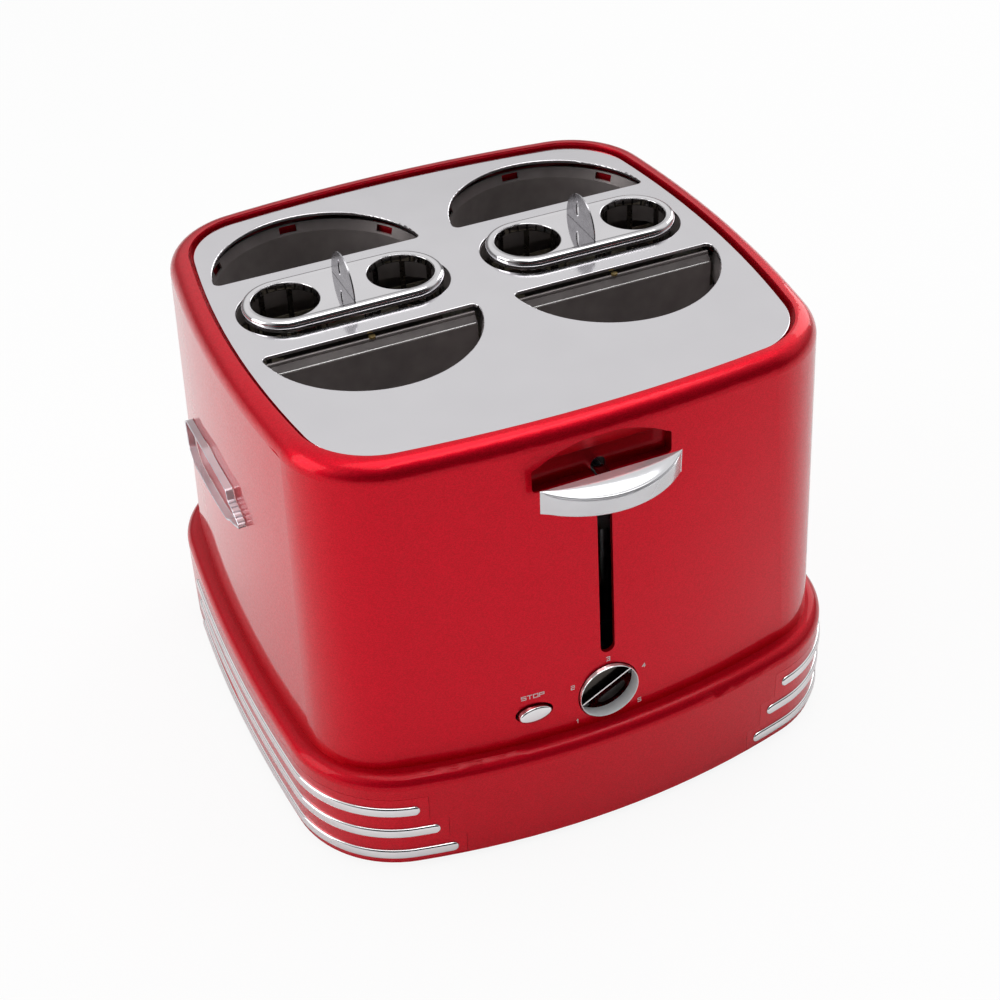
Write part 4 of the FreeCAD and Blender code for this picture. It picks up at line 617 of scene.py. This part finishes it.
for k in range(97):
    u = math.sin(math.pi / 2 * (-1 + 2 * k / 96))
    x = GRIP_HALF_L * u
    width = max(math.sqrt(max(grip_r ** 2 - x ** 2, 0)) - (grip_r - bow), 0.25)
    front = GRIP_BACK_Y - width
    dish = min(GRIP_DISH, width * 0.16)
    edge = min(0.55, width * 0.2)
    ring = [(x, GRIP_BACK_Y, GRIP_Z[0] + 0.3), (x, GRIP_BACK_Y, GRIP_Z[1] - 0.35),
            (x, GRIP_BACK_Y - edge * 0.5, GRIP_Z[1])]
    for t, drop in GRIP_TOP:
        ring.append((x, GRIP_BACK_Y - edge - (width - 2.4 * edge) * t, GRIP_Z[1] - dish * drop))
    rim_z = GRIP_Z[1] - dish * GRIP_TOP[-1][1]
    for a in (75, 50, 25, 0):
        ring.append((x, front + edge * 1.3 * (1 - math.cos(math.radians(a))),
                     rim_z - edge * 1.2 * (1 - math.sin(math.radians(a)))))
    # The thin dark groove between the top and the front band runs out towards the tips
    groove = min(GRIP_GROOVE, width * 0.1)
    under = rim_z - edge * 1.2
    ring += [(x, front + groove, under - groove * 0.3), (x, front + groove, under - groove * 1.5),
             (x, front, under - groove * 1.9)]
    for a in (0, 30, 60, 90):
        ring.append((x, front + edge * 1.6 * (1 - math.cos(math.radians(a))),
                     GRIP_Z[0] + edge * 1.6 * (1 - math.sin(math.radians(a)))))
    rings.append(ring)
points, faces = skin(rings)
grip_chrome = Finish("grip_chrome")
grip_chrome.put(Metallic=0.72)
grip_chrome.colour(grip_chrome.grain(60), (0.70, 0.70, 0.72), (0.75, 0.75, 0.77))
grip_chrome.roughness(grip_chrome.grain(220, 3.0), 0.10, 0.15)
make_piece("dished_grip", points, faces, grip_chrome, "carriage", ("lever_grip",))

# Browning knob: a chrome-plated cup let into the wall, with a thin grip rib across it between two scooped
# hollows. The rib points at the chosen figure. A short splined boss behind it pushes on the shaft.
KNOB_Z = 74.6
KNOB_R = 15.0
CUP_R = 14.5
KNOB_Y = (-135.0, -120.0)
KNOB_TURN = 61.0
SCOOP_REACH = 10.5
SCOOP_Y = -127.6
RIB_Y = -131.6
RIB_HALF = 0.36
CUP_WALL = 6.2
WALL_PAINTED_REFLECTION, HOLLOW_PAINTED_REFLECTION, FOOT_PAINTED_REFLECTION = 1, 2, 3


def scooped(a):
    # Depth of the hollow beside the rib: steep next to the rib, level towards the wall of the cup
    if abs(a) <= RIB_HALF:
        return RIB_Y
    return SCOOP_Y + (RIB_Y - SCOOP_Y) * max(1 - (abs(a) - RIB_HALF) / SCOOP_REACH, 0.0) ** 1.6


spread = [0.0, 0.2, 0.36, 0.42, 0.65, 0.9, 1.4, 2.1, 3.0, 4.1, 5.3, 6.6, 7.9, 9.1, 10.2, 11.2, 12.1, 12.8,
          13.4, 13.9, 14.3]
lanes = [-a for a in reversed(spread[1:])] + spread
columns = 14
points, faces = [], []
for a in lanes:
    half = math.sqrt(CUP_R ** 2 - a ** 2)
    points += [(a, scooped(a), -half + 2 * half * j / columns) for j in range(columns + 1)]
for i in range(len(lanes) - 1):
    for j in range(columns):
        start = i * (columns + 1) + j
        faces.append((start, start + 1, start + columns + 2, start + columns + 1))
edge_loop = [i * (columns + 1) + columns for i in range(len(lanes))]
edge_loop += [(len(lanes) - 1) * (columns + 1) + j for j in range(columns - 1, 0, -1)]
edge_loop += [i * (columns + 1) for i in range(len(lanes) - 1, -1, -1)]
edge_loop += [j for j in range(1, columns)]
profile = [(CUP_R, KNOB_Y[0] + CUP_WALL), (CUP_R, KNOB_Y[0] + 0.30), (CUP_R + 0.07, KNOB_Y[0] + 0.10),
           (CUP_R + 0.18, KNOB_Y[0]), (CUP_R + 0.30, KNOB_Y[0]), (KNOB_R - 0.12, KNOB_Y[0] + 0.14),
           (KNOB_R, KNOB_Y[0] + 0.4), (KNOB_R, KNOB_Y[1] - 0.4), (KNOB_R - 0.4, KNOB_Y[1]), (4.0, KNOB_Y[1])]
loops = [edge_loop]
for r, y in profile:
    loop = []
    for index in edge_loop:
        a, _, b = points[index]
        size = math.hypot(a, b)
        loop.append(len(points))
        # The foot of the cup wall follows the hollow where the rib rises above it
        deepest = points[index][1] if len(loops) == 1 else y
        points.append((a / size * r, min(y, deepest), b / size * r))
    loops.append(loop)
for inner, outer in zip(loops[:-1], loops[1:]):
    for k in range(len(inner)):
        faces.append((inner[k], inner[(k + 1) % len(inner)], outer[(k + 1) % len(inner)], outer[k]))
faces.append(tuple(loops[-1]))
turn = math.radians(KNOB_TURN)
points = [(a * math.cos(turn) + b * math.sin(turn), y, KNOB_Z - a * math.sin(turn) + b * math.cos(turn))
          for a, y, b in points]
knob = make_piece("scooped_knob", points, faces, chrome, "knob", ("browning_knob",), 30)
# The pale wall, the dark hollows and the red foot are colours that stand for what the chrome mirrors
pale_reflection_paint = Finish("painted_pale_reflection")
pale_reflection_paint.put(Metallic=0.1)
pale_reflection_paint.colour(pale_reflection_paint.grain(300), (0.88, 0.88, 0.89), (0.95, 0.95, 0.96))
pale_reflection_paint.roughness(pale_reflection_paint.grain(900), 0.28, 0.36)
dark_reflection_paint = Finish("painted_dark_reflection")
dark_reflection_paint.put(Metallic=1.0)
dark_reflection_paint.colour(dark_reflection_paint.grain(200), (0.050, 0.042, 0.038), (0.075, 0.066, 0.060))
dark_reflection_paint.roughness(dark_reflection_paint.grain(700), 0.05, 0.10)
mirrored_red = Finish("red_mirrored_in_chrome")
mirrored_red.put(Metallic=0.9)
mirrored_red.colour(mirrored_red.grain(300), (0.20, 0.004, 0.010), (0.27, 0.006, 0.014))
mirrored_red.roughness(mirrored_red.grain(700), 0.2, 0.3)
for finish in (pale_reflection_paint, dark_reflection_paint, mirrored_red):
    knob.data.materials.append(finish.material)
# Painted reflections by place: pale on the cup wall, red at its foot, dark in the hollows beside the rib
for face in knob.data.polygons:
    reach = Vector((face.center.x, face.center.z - KNOB_Z * MM))
    inward = -(reach.x * face.normal.x + reach.y * face.normal.z) / max(reach.length, MM)
    side = reach.x * math.cos(turn) - reach.y * math.sin(turn)
    if inward > 0.6 and reach.length > (CUP_R - 0.8) * MM:
        face.material_index = WALL_PAINTED_REFLECTION if face.center.y < (KNOB_Y[0] + 6.0) * MM else FOOT_PAINTED_REFLECTION
    elif (-face.normal.y > 0.3 and abs(side) > RIB_HALF * MM and reach.length < CUP_R * MM
          and face.center.y > RIB_Y * MM):
        face.material_index = HOLLOW_PAINTED_REFLECTION

# Stop button: an oval chrome key with a softly domed face, held from behind by its flange.
BUTTON_X, BUTTON_Z = -37.1, 74.4
BUTTON_A, BUTTON_B = 8.0, 4.4
BUTTON_Y = (-134.7, -127.0)
FLANGE = 2.2
profile = [(FLANGE, BUTTON_Y[1] + 1.2), (FLANGE, BUTTON_Y[1]), (0.0, BUTTON_Y[1]), (0.0, BUTTON_Y[0] + 1.15),
           (-0.06, BUTTON_Y[0] + 0.85), (-0.26, BUTTON_Y[0] + 0.60), (-0.60, BUTTON_Y[0] + 0.42),
           (-1.2, BUTTON_Y[0] + 0.26), (-2.1, BUTTON_Y[0] + 0.12), (-3.2, BUTTON_Y[0] + 0.03), (-4.2, BUTTON_Y[0])]
rings = [[(BUTTON_X + (BUTTON_A + grow) * math.cos(2 * math.pi * k / 72), y,
           BUTTON_Z + (BUTTON_B + grow) * math.sin(2 * math.pi * k / 72)) for k in range(72)]
         for grow, y in profile]
stem = [(2.0, BUTTON_Y[1] + 1.2), (2.0, -116.2)]
stem_rings = [[(BUTTON_X + r * math.cos(2 * math.pi * k / 72), y, BUTTON_Z + r * math.sin(2 * math.pi * k / 72))
               for k in range(72)] for r, y in reversed(stem)]
points, faces = skin(stem_rings + rings)
make_piece("domed_button", points, faces, chrome, "stop", ("stop_button",))

# Sausage baskets: a pressed and polished frame with a rolled edge round two mouths, a dark tube cage under
# each mouth, and a thin leaf with a finger hole spot-welded across the middle to lift it by.
FRAME_HALF_L = 48.65
FRAME_R = 20.3
FRAME_TOP = 226.0
FRAME_FOOT = 220.6
PANEL_Z = 225.8
UNDER_Z = 224.2
LEAF_EYE = (3.0, 8.0, 1.5, 4.2)
MOUTH_R = 16.3
MOUTH_X = 28.35
MOUTH_FOOT = 222.2
ROLL = 2.2
FRAME_POINTS = 128


def round_ring(x, radius, z, count=64):
    return [(x + radius * math.cos(2 * math.pi * k / count), UNIT_Y + radius * math.sin(2 * math.pi * k / count), z)
            for k in range(count)]


def join_rings(points, faces, rings):
    starts = []
    for ring in rings:
        starts.append(len(points))
        points += ring
    count = len(rings[0])
    for low, high in zip(starts[:-1], starts[1:]):
        faces += [(low + k, low + (k + 1) % count, high + (k + 1) % count, high + k) for k in range(count)]
    return starts[0], starts[-1], count


def close_panel(points, faces, loops):
    # Fills the flat between an outer ring and the rings of the mouths
    flat = [[Vector(points[start + k]) for k in range(count)] for start, count in loops]
    where = [start + k for start, count in loops for k in range(count)]
    faces += [tuple(where[i] for i in triangle) for triangle in tessellate_polygon(flat)]


edge_profile = [(1.2, UNDER_Z), (1.2, FRAME_FOOT), (0.5, FRAME_FOOT), (0.12, FRAME_FOOT + 0.5),
                (0.0, FRAME_FOOT + 1.3)]
edge_profile += [(ROLL * (1 - math.cos(math.radians(a))), FRAME_TOP - ROLL + ROLL * math.sin(math.radians(a)))
                 for a in (0, 15, 30, 45, 60, 75, 90)]
edge_profile += [(2.7, FRAME_TOP - 0.02), (3.2, FRAME_TOP - 0.07), (3.7, PANEL_Z + 0.05), (4.1, PANEL_Z),
                 (4.2, PANEL_Z)]
mouth_profile = [(MOUTH_R + 0.12, PANEL_Z), (MOUTH_R, PANEL_Z), (MOUTH_R - 0.25, PANEL_Z - 0.1),
                 (MOUTH_R - 0.42, PANEL_Z - 0.35), (MOUTH_R - 0.5, PANEL_Z - 0.7), (MOUTH_R - 0.5, MOUTH_FOOT),
                 (MOUTH_R + 0.3, MOUTH_FOOT), (MOUTH_R + 0.3, UNDER_Z)]
rolled = Finish("rolled_steel")
rolled.put(Metallic=1.0)
rolled.colour(rolled.grain(30), (0.76, 0.745, 0.765), (0.80, 0.785, 0.805))
rolled.roughness(rolled.grain(80, 3.0), 0.05, 0.09)
for unit_name, unit in (("left", -1), ("right", 1)):
    points, faces = [], []
    centre_x = unit * UNIT_X
    under, top, count = join_rings(points, faces,
                                    [oblong(centre_x, FRAME_HALF_L - FRAME_R, FRAME_R - inward, z, FRAME_POINTS)
                                     for inward, z in edge_profile])
    upper_loops, lower_loops = [(top, count)], [(under, count)]
    for tube in (-1, 1):
        mouth_x = centre_x + tube * MOUTH_X
        high, low, mouth_count = join_rings(points, faces, [round_ring(mouth_x, r, z) for r, z in mouth_profile])
        upper_loops.append((high, mouth_count))
        lower_loops.append((low, mouth_count))
    close_panel(points, faces, upper_loops)
    close_panel(points, faces, lower_loops)
    make_piece(f"rolled_frame_{unit_name}", points, faces, rolled, f"basket_{unit_name}",
               (f"basket_frame_{unit_name}",), 42)
leaf = Finish("thin_leaf_steel")
leaf.put(Metallic=1.0)
leaf.colour(leaf.grain(300), (0.36, 0.35, 0.37), (0.44, 0.43, 0.45))
leaf.roughness(leaf.grain(500), 0.22, 0.32)
LEAF_HALF_W, LEAF_H, LEAF_T = 15.0, 16.0, 0.7
for unit_name, unit in (("left", -1), ("right", 1)):
    rim = [(UNIT_Y + LEAF_HALF_W * math.cos(math.pi * k / 40), FRAME_TOP + LEAF_H * math.sin(math.pi * k / 40))
           for k in range(41)]
    eye = [(UNIT_Y + LEAF_EYE[0] + LEAF_EYE[2] * math.cos(math.pi * k / 10) * (1 - 0.25 * math.sin(math.pi * k / 10)),
            FRAME_TOP + LEAF_EYE[1] + LEAF_EYE[3] * math.sin(math.pi * k / 10)) for k in range(20)]
    sheet_faces = tessellate_polygon([[Vector((y, z, 0)) for y, z in rim], [Vector((y, z, 0)) for y, z in eye]])
    points = [(unit * UNIT_X + way * LEAF_T / 2, y, z) for way in (-1, 1) for y, z in rim + eye]
    count = len(rim) + len(eye)
    faces = [tuple(t) for t in sheet_faces] + [tuple(count + i for i in reversed(t)) for t in sheet_faces]
    for start, size in ((0, len(rim)), (len(rim), len(eye))):
        faces += [(start + k, start + (k + 1) % size, count + start + (k + 1) % size, count + start + k)
                  for k in range(size)]
    make_piece(f"thin_leaf_{unit_name}", points, faces, leaf, f"basket_{unit_name}",
               (f"basket_tab_{unit_name}",))
cage_steel = Finish("browned_steel")
cage_steel.put(Metallic=1.0)
cage_steel.colour(cage_steel.grain(120, 4.0), (0.10, 0.088, 0.082), (0.19, 0.17, 0.16))
cage_steel.roughness(cage_steel.grain(600, 3.0), 0.22, 0.4)
dress(cage_steel, "basket_cage_left", "basket_cage_right")

# Serving tongs: one long strip of polished stainless steel, folded at the heel into two arms with bent
# jaws, standing on edge against the left wall, where magnets hold it. Small teeth stand on the upper jaw.
TONGS_UPPER = ((66.0, 142.0), (63.0, 145.0), (22.0, 155.0), (-16.0, 156.5), (-17.5, 151.5), (-23.0, 150.0),
               (-31.0, 146.5))
TONGS_LOWER = ((66.0, 142.0), (64.5, 139.0), (62.0, 129.5), (48.0, 127.5), (24.0, 132.5), (6.0, 134.8),
               (-12.0, 137.0), (-18.0, 140.5), (-25.0, 142.5), (-31.0, 145.0))
TONGS_OFF = 0.3
TONGS_W = 3.5
TONGS_T = 1.0
TEETH = 5
TEETH_FROM, TEETH_TO = (-18.0, 151.6), (-31.0, 147.0)
TOOTH, TOOTH_H = 1.3, 2.0


def eased(corners, radius):
    # The folded line with each of its corners turned into a short curve
    line = [Vector(corners[0])]
    for before, here, after in zip(corners[:-2], corners[1:-1], corners[2:]):
        b, h, a = Vector(before), Vector(here), Vector(after)
        cut = min(radius, (b - h).length * 0.42, (a - h).length * 0.42)
        p, q = h + (b - h).normalized() * cut, h + (a - h).normalized() * cut
        line += [p * (1 - t) ** 2 + h * 2 * t * (1 - t) + q * t ** 2 for t in (0, 0.25, 0.5, 0.75, 1)]
    line.append(Vector(corners[-1]))
    return line


def strip_between(line, from_x, to_x):
    # Sweeps the thin section of the strip along its line, with its width standing off the wall
    rings = []
    for index, here in enumerate(line):
        before, after = line[max(index - 1, 0)], line[min(index + 1, len(line) - 1)]
        run = (after - before).normalized()
        side = Vector((-run.y, run.x)) * TONGS_T / 2
        wall = side_wall(here.x, here.y)
        ring = []
        for off, across in ((from_x, 1), (to_x, 1), (to_x, -1), (from_x, -1)):
            for inset_off, inset_across in (((0.18, 0), (0, 0.18)) if across * (off - from_x - 0.01) < 0 or
                                            (across > 0 and off == from_x) else ((0, 0.18), (0.18, 0))):
                sign = 1 if off == from_x else -1
                y = here.x + side.x * across * (1 - 2 * inset_across / TONGS_T)
                z = here.y + side.y * across * (1 - 2 * inset_across / TONGS_T)
                ring.append((-(wall + off + sign * inset_off), y, z))
        rings.append(ring)
    return rings


tongs_steel = Finish("bright_strip")
tongs_steel.put(Metallic=0.5)
tongs_steel.colour(tongs_steel.grain(70), (0.78, 0.78, 0.82), (0.86, 0.86, 0.90))
tongs_steel.roughness(tongs_steel.grain(500, 3.0, (4, 1, 1)), 0.12, 0.2)
points, faces = [], []
for corners in (TONGS_UPPER, TONGS_LOWER):
    arm_points, arm_faces = skin(strip_between(eased(corners, 2.0), TONGS_OFF, TONGS_OFF + TONGS_W))
    start = len(points)
    points += arm_points
    faces += [tuple(start + index for index in face) for face in arm_faces]
for index in range(TEETH):
    along = (index + 0.5) / TEETH
    y = TEETH_FROM[0] + (TEETH_TO[0] - TEETH_FROM[0]) * along
    z = TEETH_FROM[1] + (TEETH_TO[1] - TEETH_FROM[1]) * along
    wall = side_wall(y, z)
    start = len(points)
    for off in (TONGS_OFF + 0.1, TONGS_OFF + TONGS_W - 0.1):
        points += [(-(wall + off), y + dy * TOOTH, z + dz * TOOTH_H)
                   for dy, dz in ((-0.5, -0.5), (0.5, -0.5), (0.5, 0.5), (-0.5, 0.5))]
    faces += [(start, start + 1, start + 2, start + 3), (start + 7, start + 6, start + 5, start + 4)]
    faces += [(start + k, start + 4 + k, start + 4 + (k + 1) % 4, start + (k + 1) % 4) for k in range(4)]
make_piece("folded_tongs", points, faces, tongs_steel, "tongs", ("tongs",))
